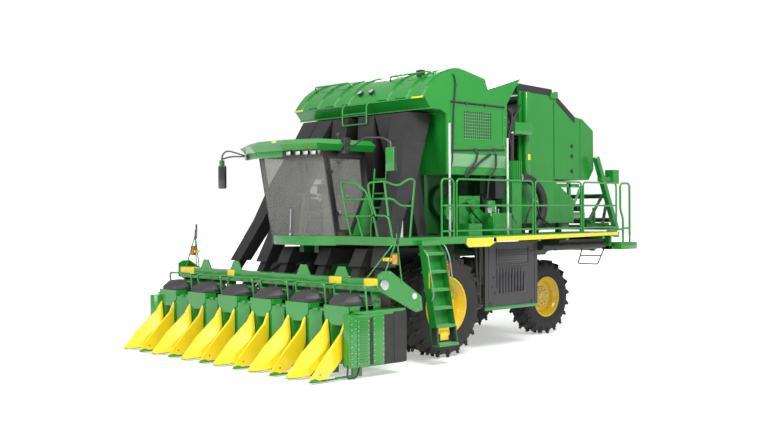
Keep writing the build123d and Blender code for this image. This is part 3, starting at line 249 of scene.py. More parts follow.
# A paler copy of the green paint: painted highlight for the band at the box's foot.
band_highlight_green = gloss_paint("painted_highlight_band_green", (0.16, 0.36, 0.17), dust=0.2, coat=0.3)
print("paints made")

# %% [markdown]
# ## Rubber, steel and glass
# Tyre rubber is matte, with fine moulded grain and dust packed into it. Bare steel has brushed
# streaks. The windscreen is grey-tinted and reflects softly, so it is mostly clear with a faint haze.

# %% Rubber, plastic and metal
def dull(name, colour, grain, depth, roughness, dusty=(0.12, 0.1, 0.075), dust=0.3):
    finish = Finish(name)
    grains = finish.noise(grain, 3.0, 0.6)
    patches = finish.ramp(finish.noise(4.0, 4.0, 0.6), (0.42, 0.0), (0.78, 1.0))
    finish.surface(
        Base_Color=finish.mix(patches * dust + grains * 0.05, colour, dusty),
        Roughness=grains * 0.15 + patches * 0.1 + roughness,
        Normal=finish.bump(grains, depth, 0.5),
    )
    return finish.material


def brushed(name, colour, roughness=0.3):
    finish = Finish(name)
    strokes = finish.noise(60.0, 3.0, 0.6, (1.0, 0.08, 1.0))
    stain = finish.ramp(finish.noise(6.0, 4.0), (0.5, 0.0), (0.8, 1.0))
    finish.surface(
        Base_Color=finish.mix(stain * 0.4, colour, (0.2, 0.15, 0.1)),
        Roughness=strokes * 0.2 + stain * 0.2 + roughness,
        Normal=finish.bump(strokes, 0.0004, 0.3),
        Metallic=1.0,
    )
    return finish.material


tyre_rubber = dull("tyre_rubber", (0.012, 0.012, 0.0135), 120.0, 0.0015, 0.62, dust=0.12)
hose_rubber = dull("hose_rubber", (0.015, 0.015, 0.016), 200.0, 0.0006, 0.5, dust=0.15)
hood_plastic = dull("hood_charcoal_plastic", (0.03, 0.029, 0.033), 260.0, 0.0004, 0.42, dust=0.08)
duct_plastic = dull("duct_black_plastic", (0.016, 0.016, 0.018), 160.0, 0.0005, 0.42, dust=0.1)
cab_plastic = dull("cab_beige_plastic", (0.22, 0.18, 0.13), 300.0, 0.0004, 0.55, dust=0.05)
seat_cloth = dull("seat_weave", (0.2, 0.155, 0.1), 420.0, 0.001, 0.85, dust=0.1)
engine_cast = dull("engine_casting", (0.01, 0.05, 0.014), 90.0, 0.002, 0.55, dust=0.3)
white_plastic = dull("white_tank_plastic", (0.75, 0.76, 0.74), 120.0, 0.0003, 0.35, dust=0.05)
bright_steel = brushed("bright_steel", (0.55, 0.56, 0.57))
dark_steel = brushed("dark_steel", (0.12, 0.12, 0.125), 0.4)
mirror_silver = brushed("mirror_silver", (0.7, 0.72, 0.74), 0.05)
print("rubber, plastic and steel made")


# %% Glass and lenses
def lens(name, colour, glow=0.0, clear=0.0, roughness=0.12):
    finish = Finish(name)
    ribs = finish.noise(70.0, 1.0)
    finish.surface(
        Base_Color=finish.mix(ribs * 0.3, colour, tuple(c * 0.6 for c in colour)),
        Roughness=ribs * 0.1 + roughness,
        Normal=finish.bump(ribs, 0.0008, 0.4),
        Coat_Weight=0.8,
        Emission_Color=colour,
        Emission_Strength=glow,
        Alpha=1.0 - clear,
    )
    return finish.material


def window_glass(name, colour):
    """Tinted safety glass, clear through its thickness, with the faintest haze."""
    finish = Finish(name)
    haze = finish.ramp(finish.noise(1.6, 3.0), (0.35, 0.0), (0.75, 1.0))
    finish.surface(Base_Color=(0.4, 0.4, 0.39), Roughness=haze * 0.15 + 0.35)
    clear = finish.node("ShaderNodeBsdfTransparent", None, {"Color": colour})
    blend = finish.node("ShaderNodeMixShader", None, {0: 0.24})
    finish.tree.links.new(clear.socket, blend.socket.node.inputs[1])
    finish.tree.links.new(finish.shader.outputs[0], blend.socket.node.inputs[2])
    finish.tree.links.new(blend.socket, finish.tree.nodes["Material Output"].inputs["Surface"])
    return finish.material


tinted_glass = window_glass("tinted_cab_glass", (0.86, 0.86, 0.84))
lamp_glass = lens("lamp_glass", (0.42, 0.43, 0.45), 0.0)
amber_lens = lens("amber_lens", (0.9, 0.2, 0.01), 0.15)
# This red finish glows faintly. It is used on the fire extinguisher, where the glow is painted light.
red_lens_with_painted_glow = lens("red_lens_with_painted_glow", (0.5, 0.01, 0.01), 0.1)
print("glass made")


# %% [markdown]
# ## Finishes for the solid nodes
# Each node already has a material slot in the record. Here every node gets its real finish, so that
# nothing is left as flat colour.

# %% Give each node its finish
node_finishes = {
    green_paint: (
        "toolbar", "lift_arms", "unit_housings", "unit_decks", "unit_hoops", "end_plates", "accumulator_sides",
        "accumulator_front", "accumulator_shell", "screen_panels", "chamber_sides", "cab_floor", "cab_roof",
        "platforms", "railings", "access_ladder", "rear_steps", "rear_gate", "module_handler", "divider_shoes",
        "cooler_boxes", "header_masts", "roof_ladder",
    ),
    # The frame and axles take the darker green, which is painted shade.
    shade_darkened_green: ("main_frame", "front_axle", "rear_axle"),
    yellow_paint: ("divider_points",),
    wheel_paint: ("front_rims_left", "front_rims_right", "rear_rim_left", "rear_rim_right"),
    black_paint: ("unit_hoods", "mirrors", "cab_frame", "cab_door", "air_cleaner"),
    hatch_paint: ("engine_side_panels", "belly_tanks"),
    duct_plastic: ("upper_ducts",),
    dark_steel: ("chamber_rollers", "knuckle_left", "knuckle_right"),
    engine_cast: ("engine_block",),
    hose_rubber: ("rear_curtains", "suction_boots", "bay_hoses"),
    tyre_rubber: ("front_tyres_left", "front_tyres_right", "rear_tyre_left", "rear_tyre_right"),
    tinted_glass: ("windscreen", "cab_panes", "door_pane"),
    seat_cloth: ("seat",),
    cab_plastic: ("console",),
    lamp_glass: ("roof_lamps", "hood_lamps"),
    white_plastic: ("washer_tank",),
}
dressed = set()
for material, names in node_finishes.items():
    for name in names:
        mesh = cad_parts[name].data
        mesh.materials.clear()
        mesh.materials.append(material)
        dressed.add(name)
print("nodes still plain:", sorted(set(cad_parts) - dressed))

# %% [markdown]
# ## Modelling by hand, in code
# The helpers below do what a modeller does with the mouse: add a primitive, size it, ease its edges,
# cut it, copy it and give it a finish. Everything is deselected first, because the solid nodes come
# in selected and an operator works on all that is selected.

# %% Helpers for single pieces
def pick(*pieces):
    """Selects only these pieces, the first one active."""
    bpy.ops.object.select_all(action="DESELECT")
    for piece in pieces:
        piece.select_set(True)
    bpy.context.view_layer.objects.active = pieces[0]


def settle(piece):
    """Puts the piece's place, turn and size into its mesh."""
    pick(piece)
    bpy.ops.object.transform_apply(location=True, rotation=True, scale=True)
    return piece


def use(piece, kind, **settings):
    """Adds a modifier and applies it."""
    pick(piece)
    modifier = piece.modifiers.new("step", kind)
    for key, value in settings.items():
        setattr(modifier, key, value)
    bpy.ops.object.modifier_apply(modifier="step")
    return piece


def ease(piece, width, segments=2):
    return use(piece, "BEVEL", width=width, segments=segments, limit_method="ANGLE")


def block(low, high, edge=0.004):
    """A box between two corners with eased edges."""
    bpy.ops.object.select_all(action="DESELECT")
    middle = [(a + b) / 2 for a, b in zip(low, high)]
    bpy.ops.mesh.primitive_cube_add(size=1, location=middle, scale=[b - a for a, b in zip(low, high)])
    piece = settle(bpy.context.object)
    return ease(piece, edge) if edge else piece


def facing(piece, direction):
    """Turns a piece made along Z so that it points along the direction."""
    piece.rotation_euler = Vector(direction).to_track_quat("Z", "Y").to_euler()
    return settle(piece)


def drum(start, end, radius, sides=24, edge=0.003):
    """A round bar between two points with eased rims."""
    bpy.ops.object.select_all(action="DESELECT")
    start, end = Vector(start), Vector(end)
    bpy.ops.mesh.primitive_cylinder_add(
        vertices=sides, radius=radius, depth=(end - start).length, location=(start + end) / 2
    )
    piece = facing(bpy.context.object, end - start)
    return ease(piece, edge) if edge else piece


def pipe(points, radius, bend=0.05, sides=3):
    """A round tube along straight runs with smooth bends at the corners."""
    bpy.ops.object.select_all(action="DESELECT")
    bpy.ops.curve.primitive_bezier_curve_add(location=(0, 0, 0))
    curve = bpy.context.object
    spots = [Vector(p) for p in points]
    knots = [(spots[0], spots[0], spots[0])]
    for before, corner, after in zip(spots, spots[1:], spots[2:]):
        into, out = (before - corner), (after - corner)
        reach = min(bend, 0.45 * into.length, 0.45 * out.length)
        first, last = corner + into.normalized() * reach, corner + out.normalized() * reach
        knots += [(first, first, first.lerp(corner, 0.55)), (last, last.lerp(corner, 0.55), last)]
    knots.append((spots[-1], spots[-1], spots[-1]))
    bezier = curve.data.splines[0].bezier_points
    bezier.add(len(knots) - 2)
    for point, (spot, left, after) in zip(bezier, knots):
        point.handle_left_type = point.handle_right_type = "FREE"
        point.co, point.handle_left, point.handle_right = spot, left, after
    curve.data.bevel_depth, curve.data.bevel_resolution = radius, sides
    curve.data.resolution_u, curve.data.use_fill_caps = 4, True
    bpy.ops.object.convert(target="MESH")
    return bpy.context.object


def drawn_out(rings):
    """A closed form whose first ring is a flat face, and whose next rings are extruded from it one by one."""
    bpy.ops.object.select_all(action="DESELECT")
    bpy.ops.mesh.primitive_circle_add(vertices=len(rings[0]), radius=1.0, fill_type="NGON")
    piece = settle(bpy.context.object)
    for corner, place in zip(piece.data.vertices, rings[0]):
        corner.co = place
    for ring in rings[1:]:
        pick(piece)
        bpy.ops.object.mode_set(mode="EDIT")
        bpy.ops.mesh.extrude_region_move(TRANSFORM_OT_translate={"value": (0, 0, 0)})
        bpy.ops.object.mode_set(mode="OBJECT")
        moved = [corner for corner in piece.data.vertices if corner.select]
        for corner, place in zip(moved, ring):
            corner.co = place
    bpy.ops.object.mode_set(mode="EDIT")
    bpy.ops.mesh.select_all(action="SELECT")
    bpy.ops.mesh.normals_make_consistent(inside=False)
    bpy.ops.object.mode_set(mode="OBJECT")
    return piece


def sheet_metal(outline, near, far, edge=0.002):
    """A plate whose outline is given as (y, z) places, between two x values."""
    piece = drawn_out([[(x, y, z) for y, z in outline] for x in (near, far)])
    return ease(piece, edge, 1) if edge else piece


def turned(profile, centre, steps=64):
    """A profile of (x, radius) points turned about the X axis through the centre."""
    bpy.ops.object.select_all(action="DESELECT")
    centre = Vector(centre)
    spots = [centre + Vector((x, 0, r)) for x, r in profile]
    bpy.ops.mesh.primitive_plane_add(size=0.01, location=spots[0])
    settle(bpy.context.object)
    bpy.ops.object.mode_set(mode="EDIT")
    bpy.ops.mesh.select_all(action="SELECT")
    bpy.ops.mesh.merge(type="CENTER")
    for a, b in zip(spots, spots[1:]):
        bpy.ops.mesh.extrude_region_move(TRANSFORM_OT_translate={"value": b - a})
    bpy.ops.mesh.select_all(action="SELECT")
    bpy.ops.mesh.spin(steps=steps, angle=tau, center=centre, axis=(1, 0, 0))
    bpy.ops.mesh.select_all(action="SELECT")
    bpy.ops.mesh.remove_doubles(threshold=0.0002)
    bpy.ops.mesh.normals_make_consistent(inside=False)
    bpy.ops.object.mode_set(mode="OBJECT")
    return bpy.context.object


print("helpers ready")


# %% Helpers for copies and for handing a piece over
def copies(piece, moves, keep=True):
    """The piece and copies of it at each move, joined into one. A move is a vector or a matrix."""
    made = []
    for move in moves:
        twin = piece.copy()
        twin.data = piece.data.copy()
        bpy.context.scene.collection.objects.link(twin)
        twin.data.transform(move if isinstance(move, Matrix) else Matrix.Translation(move))
        made.append(twin)
    if not keep:
        bpy.data.objects.remove(piece)
    return join(([piece] if keep else []) + made)


def join(pieces):
    pick(*pieces)
    if len(pieces) > 1:
        bpy.ops.object.join()
    return pieces[0]


def mirrored(piece):
    """A copy of the piece on the machine's other side."""
    twin = piece.copy()
    twin.data = piece.data.copy()
    bpy.context.scene.collection.objects.link(twin)
    twin.data.transform(Matrix.Scale(-1, 4, (1, 0, 0)))
    pick(twin)
    bpy.ops.object.mode_set(mode="EDIT")
    bpy.ops.mesh.select_all(action="SELECT")
    bpy.ops.mesh.normals_make_consistent(inside=False)
    bpy.ops.object.mode_set(mode="OBJECT")
    return twin


def both_sides(piece):
    return join([piece, mirrored(piece)])


def hand_over(piece, name, body, material, smooth=35.0):
    """Names a finished piece, gives it its finish and puts it on its body."""
    piece.name = piece.data.name = name
    piece.data.materials.clear()
    piece.data.materials.append(material)
    pick(piece)
    bpy.ops.object.shade_smooth_by_angle(angle=radians(smooth))
    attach(piece, body)
    print(name, "faces", len(piece.data.polygons))
    return piece


front_axle_y, rear_axle_y = -1.35174, 2.87826
rows = [(i - 2.5) * 1.016 for i in range(6)]
side_words = {1: "left", -1: "right"}

# %% [markdown]
# ## Tyres
# A drive tyre has a bulging side wall, a rounded shoulder and long bars set at an angle that reach
# down over the shoulder. The carcass is a profile turned about the axle. One bar is modelled, and the
# rest are copies turned round the wheel, every second one mirrored and shifted by half a pitch.

# %% One tyre: carcass, bead rings and bars
def tyre(tip, bead, width, bars):
    """A tyre about the X axis with its middle at the origin."""
    half, tread = width / 2, tip - 0.05
    wall = tread - bead
    profile = [
        (-half * 0.86, bead), (-half * 0.93, bead + 0.02), (-half * 0.9, bead + 0.05), (-half, bead + 0.4 * wall),
        (-half * 1.0, bead + 0.6 * wall), (-half * 0.95, tread - 0.07), (-half * 0.84, tread - 0.02),
        (-half * 0.45, tread - 0.004), (0.0, tread),
    ]
    profile += [(-x, r) for x, r in reversed(profile[:-1])]
    carcass = turned(profile, (0, 0, 0), 72)
    bar_top = sqrt(tip**2 - 0.02**2) - 0.002
    shapes = []
    for side in (-1, 1):
        bar = block((-0.24 * width, -0.028, tread - 0.045), (0.27 * width, 0.028, bar_top), 0.008)
        bar.data.transform(Matrix.Rotation(radians(42) * side, 4, "Z"))
        foot = block((0.2 * width, -0.03, tread - 0.13), (0.245 * width, 0.03, tread - 0.004), 0.008)
        foot.data.transform(Matrix.Translation((0, side * 0.12 * width, 0)))
        bar = join([bar, foot])
        bar.data.transform(Matrix.Translation((side * 0.25 * width, 0, 0)) @ Matrix.Scale(side, 4, (1, 0, 0)))
        pick(bar)
        bpy.ops.object.mode_set(mode="EDIT")
        bpy.ops.mesh.select_all(action="SELECT")
        bpy.ops.mesh.normals_make_consistent(inside=False)
        bpy.ops.object.mode_set(mode="OBJECT")
        offset = 0.5 if side > 0 else 0.0
        turns = [Matrix.Rotation(tau * (i + offset) / bars, 4, "X") for i in range(bars)]
        shapes.append(copies(bar, turns, keep=False))
    return join([carcass, *shapes])


front_tyre = tyre(0.9418, 0.535, 0.52, 22)
rear_tyre = tyre(0.7968, 0.432, 0.48, 20)
print("one front tyre has", len(front_tyre.data.polygons), "faces")

# %% [markdown]
# ## Wheels
# The yellow wheel is a rolled rim with a deep stepped dish, a raised hub disc and a ring of nuts. The
# front ones carry a planetary hub. A turned profile gives the steps, and nuts are small hexagons.

# %% One wheel: rim, stepped dish, hub and nuts
def wheel(seat, width, dish, hub):
    """A wheel about the X axis, its open side towards +X, and the nuts beside it."""
    half = width / 2
    profile = [
        (-half, seat - 0.03), (-half, seat), (-half + 0.03, seat + 0.0), (-half + 0.05, seat - 0.02),
        (half - 0.05, seat - 0.02), (half - 0.03, seat), (half, seat), (half, seat - 0.025),
        (half - 0.03, seat - 0.04), (half - 0.06, seat - 0.06), (half - dish * 0.5, seat - 0.09),
        (half - dish, seat - 0.12), (half - dish - 0.01, seat - 0.2), (half - dish + 0.03, seat - 0.23),
        (half - dish + 0.03, hub + 0.02), (half - dish + 0.055, hub), (half - dish + 0.055, 0.02),
        (half - dish + 0.045, 0.0005),
    ]
    shape = turned(profile, (0, 0, 0), 72)
    nut_x = half - dish + 0.03
    nut = drum(
        (nut_x - 0.01, 0, (hub + seat - 0.23) / 2), (nut_x + 0.025, 0, (hub + seat - 0.23) / 2), 0.018, 6,
        0.003
    )
    nuts = copies(nut, [Matrix.Rotation(tau * i / 10, 4, "X") for i in range(1, 10)])
    cap_nut = drum((nut_x + 0.02, 0, hub * 0.72), (nut_x + 0.04, 0, hub * 0.72), 0.012, 6, 0.002)
    caps = copies(cap_nut, [Matrix.Rotation(tau * i / 8, 4, "X") for i in range(1, 8)])
    return shape, join([nuts, caps])


front_wheel, front_nuts = wheel(0.535, 0.48, 0.2, 0.17)
rear_wheel, rear_nuts = wheel(0.432, 0.44, 0.16, 0.12)

print("one wheel of each size modelled")

# %% Place the tyres and wheels on their axles


def place_set(source, spots, side):
    """Copies of a wheel part at the spots, turned to face outwards, as one piece."""
    turn = Matrix.Identity(4) if side > 0 else Matrix.Rotation(pi, 4, "Z")
    return copies(source, [Matrix.Translation(spot) @ turn for spot in spots], keep=False)


def twin_of(piece):
    twin = piece.copy()
    twin.data = piece.data.copy()
    bpy.context.scene.collection.objects.link(twin)
    return twin


for side, word in side_words.items():
    front_spots = [(side * x, front_axle_y, 0.945) for x in (1.016, 2.032)]
    rear_spots = [(side * 1.03, rear_axle_y, 0.8)]
    for spots, tyre_piece, wheel_piece, nut_piece, tyre_node, rim_node, body, label in (
        (
            front_spots, front_tyre, front_wheel, front_nuts, "front_tyres_", "front_rims_", "front_wheels_",
            "front"
        ),
        (rear_spots, rear_tyre, rear_wheel, rear_nuts, "rear_tyre_", "rear_rim_", "rear_wheel_", "rear"),
    ):
        tyres = place_set(twin_of(tyre_piece), spots, side)
        hand_over(tyres, f"{label}_tyre_rubber_{word}", body + word, tyre_rubber, 40)
        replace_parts(tyres, tyre_node + word)
        wheels = place_set(twin_of(wheel_piece), spots, side)
        hand_over(wheels, f"{label}_wheel_dish_{word}", body + word, wheel_paint, 40)
        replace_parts(wheels, rim_node + word)
        nuts = place_set(twin_of(nut_piece), spots, side)
        hand_over(nuts, f"{label}_wheel_nuts_{word}", body + word, bright_steel, 30)
for source in (front_tyre, rear_tyre, front_wheel, rear_wheel, front_nuts, rear_nuts):
    bpy.data.objects.remove(source)

# %% [markdown]
# ## Yellow stripe
# A yellow band runs along the walkway's edge: a deep blank plate near the front axle, then a slim
# tapering band to the rear. It is thin pressed sheet, so it is cut from a plane and given a thickness.

# %% Stripe on both walkway edges
stripe_x = 2.452


def stripe_point(y, z):
    return (front_axle_y + y, z)


deep = sheet_metal(
    [stripe_point(y, z) for y, z in
     ((0.36, 2.16), (0.345, 2.055), (0.405, 2.0), (0.98, 2.0), (1.18, 2.085), (1.18, 2.165))],
    stripe_x, stripe_x + 0.006,
)
slim = drawn_out([
    [
        (x, *stripe_point(y, z)) for x,
        z in ((stripe_x, low), (stripe_x + 0.006, low), (stripe_x + 0.006, high), (stripe_x, high))
    ]
    for y, low, high in ((1.1, 2.08, 2.172), (3.0, 2.105, 2.185), (5.15, 2.135, 2.198))
])
hand_over(both_sides(join([deep, slim])), "walkway_stripe", "chassis", yellow_paint)

# %% [markdown]
# ## Guard rails, masts and hoops
# Every rail on this machine is one bent tube a bay, welded to the deck, so its corners are bends and
# not mitres. A curve with a round section follows the tube's middle line and rounds each corner. The
# solid nodes have six-sided bars in the same places, and these pieces stand for them.

# %% Guard rails and lamp poles
def spot(x, y, z):
    """A place whose y is counted from the front axle."""
    return Vector((x, front_axle_y + y, z))


def tubes(routes, radius, bend=0.06):
    """One piece from many round tubes, with their places counted from the front axle."""
    return join([pipe([spot(*corner) for corner in route], radius, bend) for route in routes])


rail_x, deck_z, rail_z = 2.41, 2.2, 3.24
rail_routes = []
for side in (1, -1):
    for first, last in ((-0.26, 0.06), (0.13, 2.32), (2.39, 3.9), (3.97, 5.15))[0 if side > 0 else 1 :]:
        x, first = side * rail_x, (first if side > 0 else max(first, 0.33))
        rail_routes.append([(x, first, deck_z), (x, first, rail_z), (x, last, rail_z), (x, last, deck_z)])
        rail_routes += [[(x, first, z), (x, last, z)] for z in (2.3, 2.76)]
rail_routes += [
    [(1.348, -1.48, 2.2), (1.308, -1.686, 3.188), (1.691, -1.683, 3.174), (1.966, -1.647, 2.983),
     (2.04, -1.572, 2.58), (1.332, -1.572, 2.58)],
    [(1.617, -1.572, 2.58), (1.66, -1.48, 2.2)],
    [(2.04, -1.572, 2.58), (2.05, -1.48, 2.2)],
    [(1.318, -1.626, 2.872), (2.41, -1.468, 2.877), (2.41, -1.289, 2.753), (2.41, -1.001, 2.753)],
    [(2.099, -1.575, 2.59), (2.013, -1.637, 2.929), (2.013, -1.679, 3.152), (2.41, -1.662, 3.174),
     (2.41, -1.431, 3.107), (2.41, -1.303, 3.11), (2.41, -1.063, 3.231), (2.41, -0.931, 3.207),
     (2.41, -0.991, 2.767), (2.41, -1.06, 2.2)],
    [(2.099, -1.575, 2.59), (2.41, -1.57, 2.58), (2.41, -1.48, 2.2)],
    [(2.41, -1.57, 2.58), (2.41, -1.662, 3.174)],
]
guard_rails = hand_over(
    tubes(rail_routes, 0.019, 0.08), "guard_rails", "chassis", green_paint, 50
)
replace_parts(guard_rails, "railings")
poles = [
    drum(spot(2.34, y, 2.2), spot(2.34, y, high), 0.022, 16, 0.006) for y,
    high in ((0.03, 4.25), (1.65, 4.05))
]
hand_over(join(poles), "lamp_poles", "chassis", pole_paint, 50)

# %% [markdown]
# A marker mast stands on each end of the header, so that the driver sees its width on the road. It is a
# few thin tubes with a lamp and a mirror, so each is a bent tube and small eased blocks, made on both sides.

# %% Marker masts on the header's ends
mast_routes = [
    [(side * x, y, z), (side * 2.99, -1.93, 2.2)]
    for side in (1, -1)
    for x, y, z in ((2.55, -2.19, 1.565), (2.93, -2.19, 1.565), (2.996, -1.83, 1.5))
]
mast_posts = [
    drum(spot(side * 2.99, -1.93, 2.17), spot(side * 2.99, -1.93, 2.3), 0.014, 16) for side in (1, -1)
]
mast_feet = [
    block(spot(side * x - 0.03, -2.22, 1.56), spot(side * x + 0.03, -2.16, 1.572), 0.003)
    for side in (1, -1) for x in (2.55, 2.93)
]
masts = join([tubes(mast_routes, 0.0125), *mast_posts, *mast_feet])
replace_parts(hand_over(masts, "marker_masts", "header", green_paint, 50), "header_masts")

mast_mirror = block((-0.085, -0.014, -0.15), (0.085, 0.014, 0.15), 0.012)
mast_mirror.data.transform(Matrix.Rotation(radians(-38), 4, "Z"))
mast_mirrors = copies(mast_mirror, [spot(side * 2.985, -1.905, 2.27) for side in (1, -1)], keep=False)
hand_over(mast_mirrors, "mast_mirrors", "header", black_paint)
mast_lamps = join(
    [drum(spot(side * 3.0, -1.99, 1.8), spot(side * 3.0, -1.99, 1.96), 0.045, 20, 0.012) for side in (1, -1)]
)
hand_over(mast_lamps, "mast_amber_lamps", "header", amber_lens)
lamp_brackets = []
for side in (1, -1):
    lamp_brackets += [
        block(
            spot(side * 3.0 - 0.05, -2.04, z), spot(side * 3.0 + 0.05, -1.925, z + 0.012), 0.002
        ) for z in (1.785, 1.965)
    ]
    lamp_brackets.append(
        block(spot(side * 3.0 - 0.05, -1.94, 1.785), spot(side * 3.0 + 0.05, -1.928, 1.977), 0.002)
    )
hand_over(join(lamp_brackets), "mast_lamp_brackets", "header", green_paint)
mast_flags = join([
    block(
        spot(side * 2.83 - 0.11, -2.0, 1.84), spot(side * 2.83 + 0.11, -1.992, 1.9), 0.002
    ) for side in (1, -1)
])
hand_over(mast_flags, "mast_flags", "header", yellow_paint)

# %% [markdown]
# Each row unit has a guard hoop, and the roof ladder is two stiles with treads. All are bent tube, so they
# are curves with a round section. A real bend has a radius, and so has every corner here.

# %% Hoops over the row units, the roof ladder and the rear step's rail
hoop_routes = []
for x in rows:
    hoop_routes.append([
        (x - 0.385, -2.54, 1.075), (x - 0.385, -2.575, 1.465), (x + 0.385, -2.575, 1.465), (x + 0.385, -2.54, 1.075),
    ])
    hoop_routes += [[(x + side * 0.385, -2.575, 1.45), (x + side * 0.385, -2.32, 1.45)] for side in (1, -1)]
    hoop_routes.append([(x - 0.385, -2.56, 1.3), (x + 0.385, -2.56, 1.3)])
hoops = hand_over(
    tubes(hoop_routes, 0.018, 0.07), "unit_guard_hoops", "header", green_paint, 50
)
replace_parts(hoops, "unit_hoops")

climb = [
    [(x, -0.8, 2.2), (x, -0.69, 3.45)] for x in (1.12, 1.44)
] + [
    [
        (1.12, -0.8 + 0.0231 * i, 2.203 + 0.262 * i), (1.44, -0.8 + 0.0231 * i, 2.203 + 0.262 * i)
    ] for i in range(1, 5)
]
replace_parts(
    hand_over(tubes(climb, 0.016), "roof_ladder_tubes", "chassis", green_paint, 50),
    "roof_ladder"
)

step_rails = tubes(
    [
        [
            (2.41, 5.65, 1.97), (2.41, 5.65, 3.24), (2.41, 5.3, 3.24), (2.41, 5.3, 2.66), (2.41, 5.4, 2.5),
            (2.41, 5.4, 1.97)
        ],
        [(2.41, 5.4, 2.27), (2.41, 5.65, 2.27)], [(2.41, 5.2, 2.25), (2.41, 5.4, 2.25)],
    ], 0.022, 0.09,
)
step_tread = block(spot(2.07, 5.202, 1.82), spot(2.5, 5.8, 1.97), 0.008)
pick(step_tread)
bpy.ops.object.mode_set(mode="EDIT")
bpy.ops.mesh.select_all(action="DESELECT")
bpy.ops.object.mode_set(mode="OBJECT")
for face in step_tread.data.polygons:
    face.select = face.normal.z > 0.9
bpy.ops.object.mode_set(mode="EDIT")
bpy.ops.mesh.inset(thickness=0.03, depth=-0.012)
bpy.ops.object.mode_set(mode="OBJECT")
step_arm = block(spot(2.1, 5.06, 1.82), spot(2.3, 5.24, 1.9), 0.006)
step_post = block(spot(2.1, 5.06, 1.82), spot(2.3, 5.14, 2.16), 0.006)
rear_step = hand_over(
    join([step_rails, step_tread, step_arm, step_post]), "rear_step_and_rail", "chassis", green_paint,
    50
)
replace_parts(rear_step, "rear_steps")

# %% [markdown]
# A mirror hangs on a long arm so that it clears the walkway. The arm is a bent tube, and the head is a block
# with rounded edges, with a thin bright plate on its face.

# %% Mirrors over the walkway
arm_routes = [
    [(-1.16, -1.9, 3.73), (-1.5, -2.16, 3.86), (-1.74, -2.12, 3.77), (-1.74, -2.11, 3.6)],
    [(-1.1, -1.92, 3.73), (-1.45, -2.1, 3.74), (-1.74, -2.12, 3.7)],
    [(1.16, -1.44, 3.73), (1.9, -1.64, 3.94), (2.43, -1.7, 3.91), (2.6, -1.68, 3.82), (2.6, -1.68, 3.72)],
]
mirror_arms = join([
    tubes(arm_routes, 0.016, 0.09),
    block(spot(-1.18, -1.95, 3.705), spot(-1.0, -1.85, 3.76), 0.006),
    block(spot(1.0, -1.49, 3.705), spot(1.18, -1.39, 3.76), 0.006),
])
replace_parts(hand_over(mirror_arms, "mirror_arms", "chassis", dark_steel, 50), "mirrors")
right_head = block(spot(-1.85, -2.145, 3.12), spot(-1.63, -2.075, 3.58), 0.03)
left_head = block(spot(2.49, -1.7, 3.335), spot(2.71, -1.65, 3.74), 0.02)
hand_over(join([right_head, left_head]), "mirror_heads", "chassis", black_paint)
mirror_backs = join([
    block(
        spot(2.495, -1.712, 3.34), spot(2.705, -1.7, 3.735), 0.006
    ), block(spot(-1.77, -2.16, 3.56), spot(-1.71, -2.07, 3.68), 0.008),
])
hand_over(mirror_backs, "mirror_holders", "chassis", green_paint)
mirror_faces = join([
    block(
        spot(-1.83, -2.074, 3.14), spot(-1.65, -2.071, 3.54), 0.001
    ), block(spot(2.505, -1.649, 3.35), spot(2.695, -1.646, 3.72), 0.001),
])
hand_over(mirror_faces, "mirror_glass", "chassis", mirror_silver)

# %% [markdown]
# ## Row dividers
# A divider is a hollow plastic point that lies over a steel skid. Its outer wall stands upright, a
# narrow ridge climbs along the top, and a broad inner face slopes down towards the plant passage. It
# is drawn out section by section from its tip, as the mould is.

# %% Yellow divider points
# Columns: distance behind the tip, inner foot, inner shoulder, inner ridge, outer ridge and outer foot,
# each as (across, height)
divider_rings = (
    (0.0, (-0.018, 0.04), (-0.016, 0.05), (-0.004, 0.075), (0.012, 0.075), (0.014, 0.04)),
    (0.17, (-0.09, 0.045), (-0.07, 0.11), (0.0, 0.25), (0.036, 0.25), (0.04, 0.045)),
    (0.33, (-0.14, 0.06), (-0.115, 0.19), (0.008, 0.42), (0.056, 0.42), (0.06, 0.06)),
    (0.52, (-0.13, 0.2), (-0.115, 0.34), (0.004, 0.59), (0.056, 0.59), (0.06, 0.19)),
    (0.69, (-0.1, 0.33), (-0.09, 0.46), (-0.002, 0.74), (0.052, 0.745), (0.056, 0.33)),
    (0.74, (-0.08, 0.42), (-0.07, 0.55), (-0.008, 0.84), (0.045, 0.84), (0.05, 0.42)),
    (0.79, (-0.06, 0.5), (-0.05, 0.62), (-0.01, 0.92), (0.036, 0.92), (0.042, 0.5)),
)
divider_tip_y = -5.00674
points = []
for x in rows:
    for side in (1, -1):
        rings = [
            [(x + side * (0.285 - 0.1 * back + across), divider_tip_y + back, z) for across, z in corners]
            for back, *corners in divider_rings
        ]
        point = ease(drawn_out(rings), 0.006, 2)
        points.append(point)
yellow_points = hand_over(join(points), "yellow_divider_points", "header", yellow_paint, 9)
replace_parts(yellow_points, "divider_points")
tails = [
    block((x + side * 0.206 - 0.03, divider_tip_y + 0.8, 0.55), (x + side * 0.206 + 0.03, -4.19, 0.76), 0.006)
    for x in rows for side in (1, -1)
]
hand_over(join(tails), "divider_tail_plates", "header", green_paint)
toes = []
for x in rows:
    for side in (1, -1):
        toes.append(drawn_out([
            [(x + side * (0.285 - 0.1 * back) + across, divider_tip_y + back, z)
             for across, z in ((-half, 0.03), (half, 0.03), (0.6 * half, top), (-0.6 * half, top))]
            for back, half, top in ((0.002, 0.02, 0.07), (0.1, 0.055, 0.085), (0.24, 0.06, 0.055))
        ]))
hand_over(join(toes), "divider_toes", "header", green_paint)
rivet = drum((0, 0, -0.006), (0, 0, 0.006), 0.011, 12, 0.002)
rivets = []
for x in rows:
    for side in (1, -1):
        for back, height in ((0.2, 0.14), (0.38, 0.3)):
            outer = x + side * (0.285 - 0.1 * back + 0.048)
            rivets.append(
                Matrix.Translation((outer, divider_tip_y + back, height)) @ Matrix.Rotation(pi / 2, 4, "Y")
            )
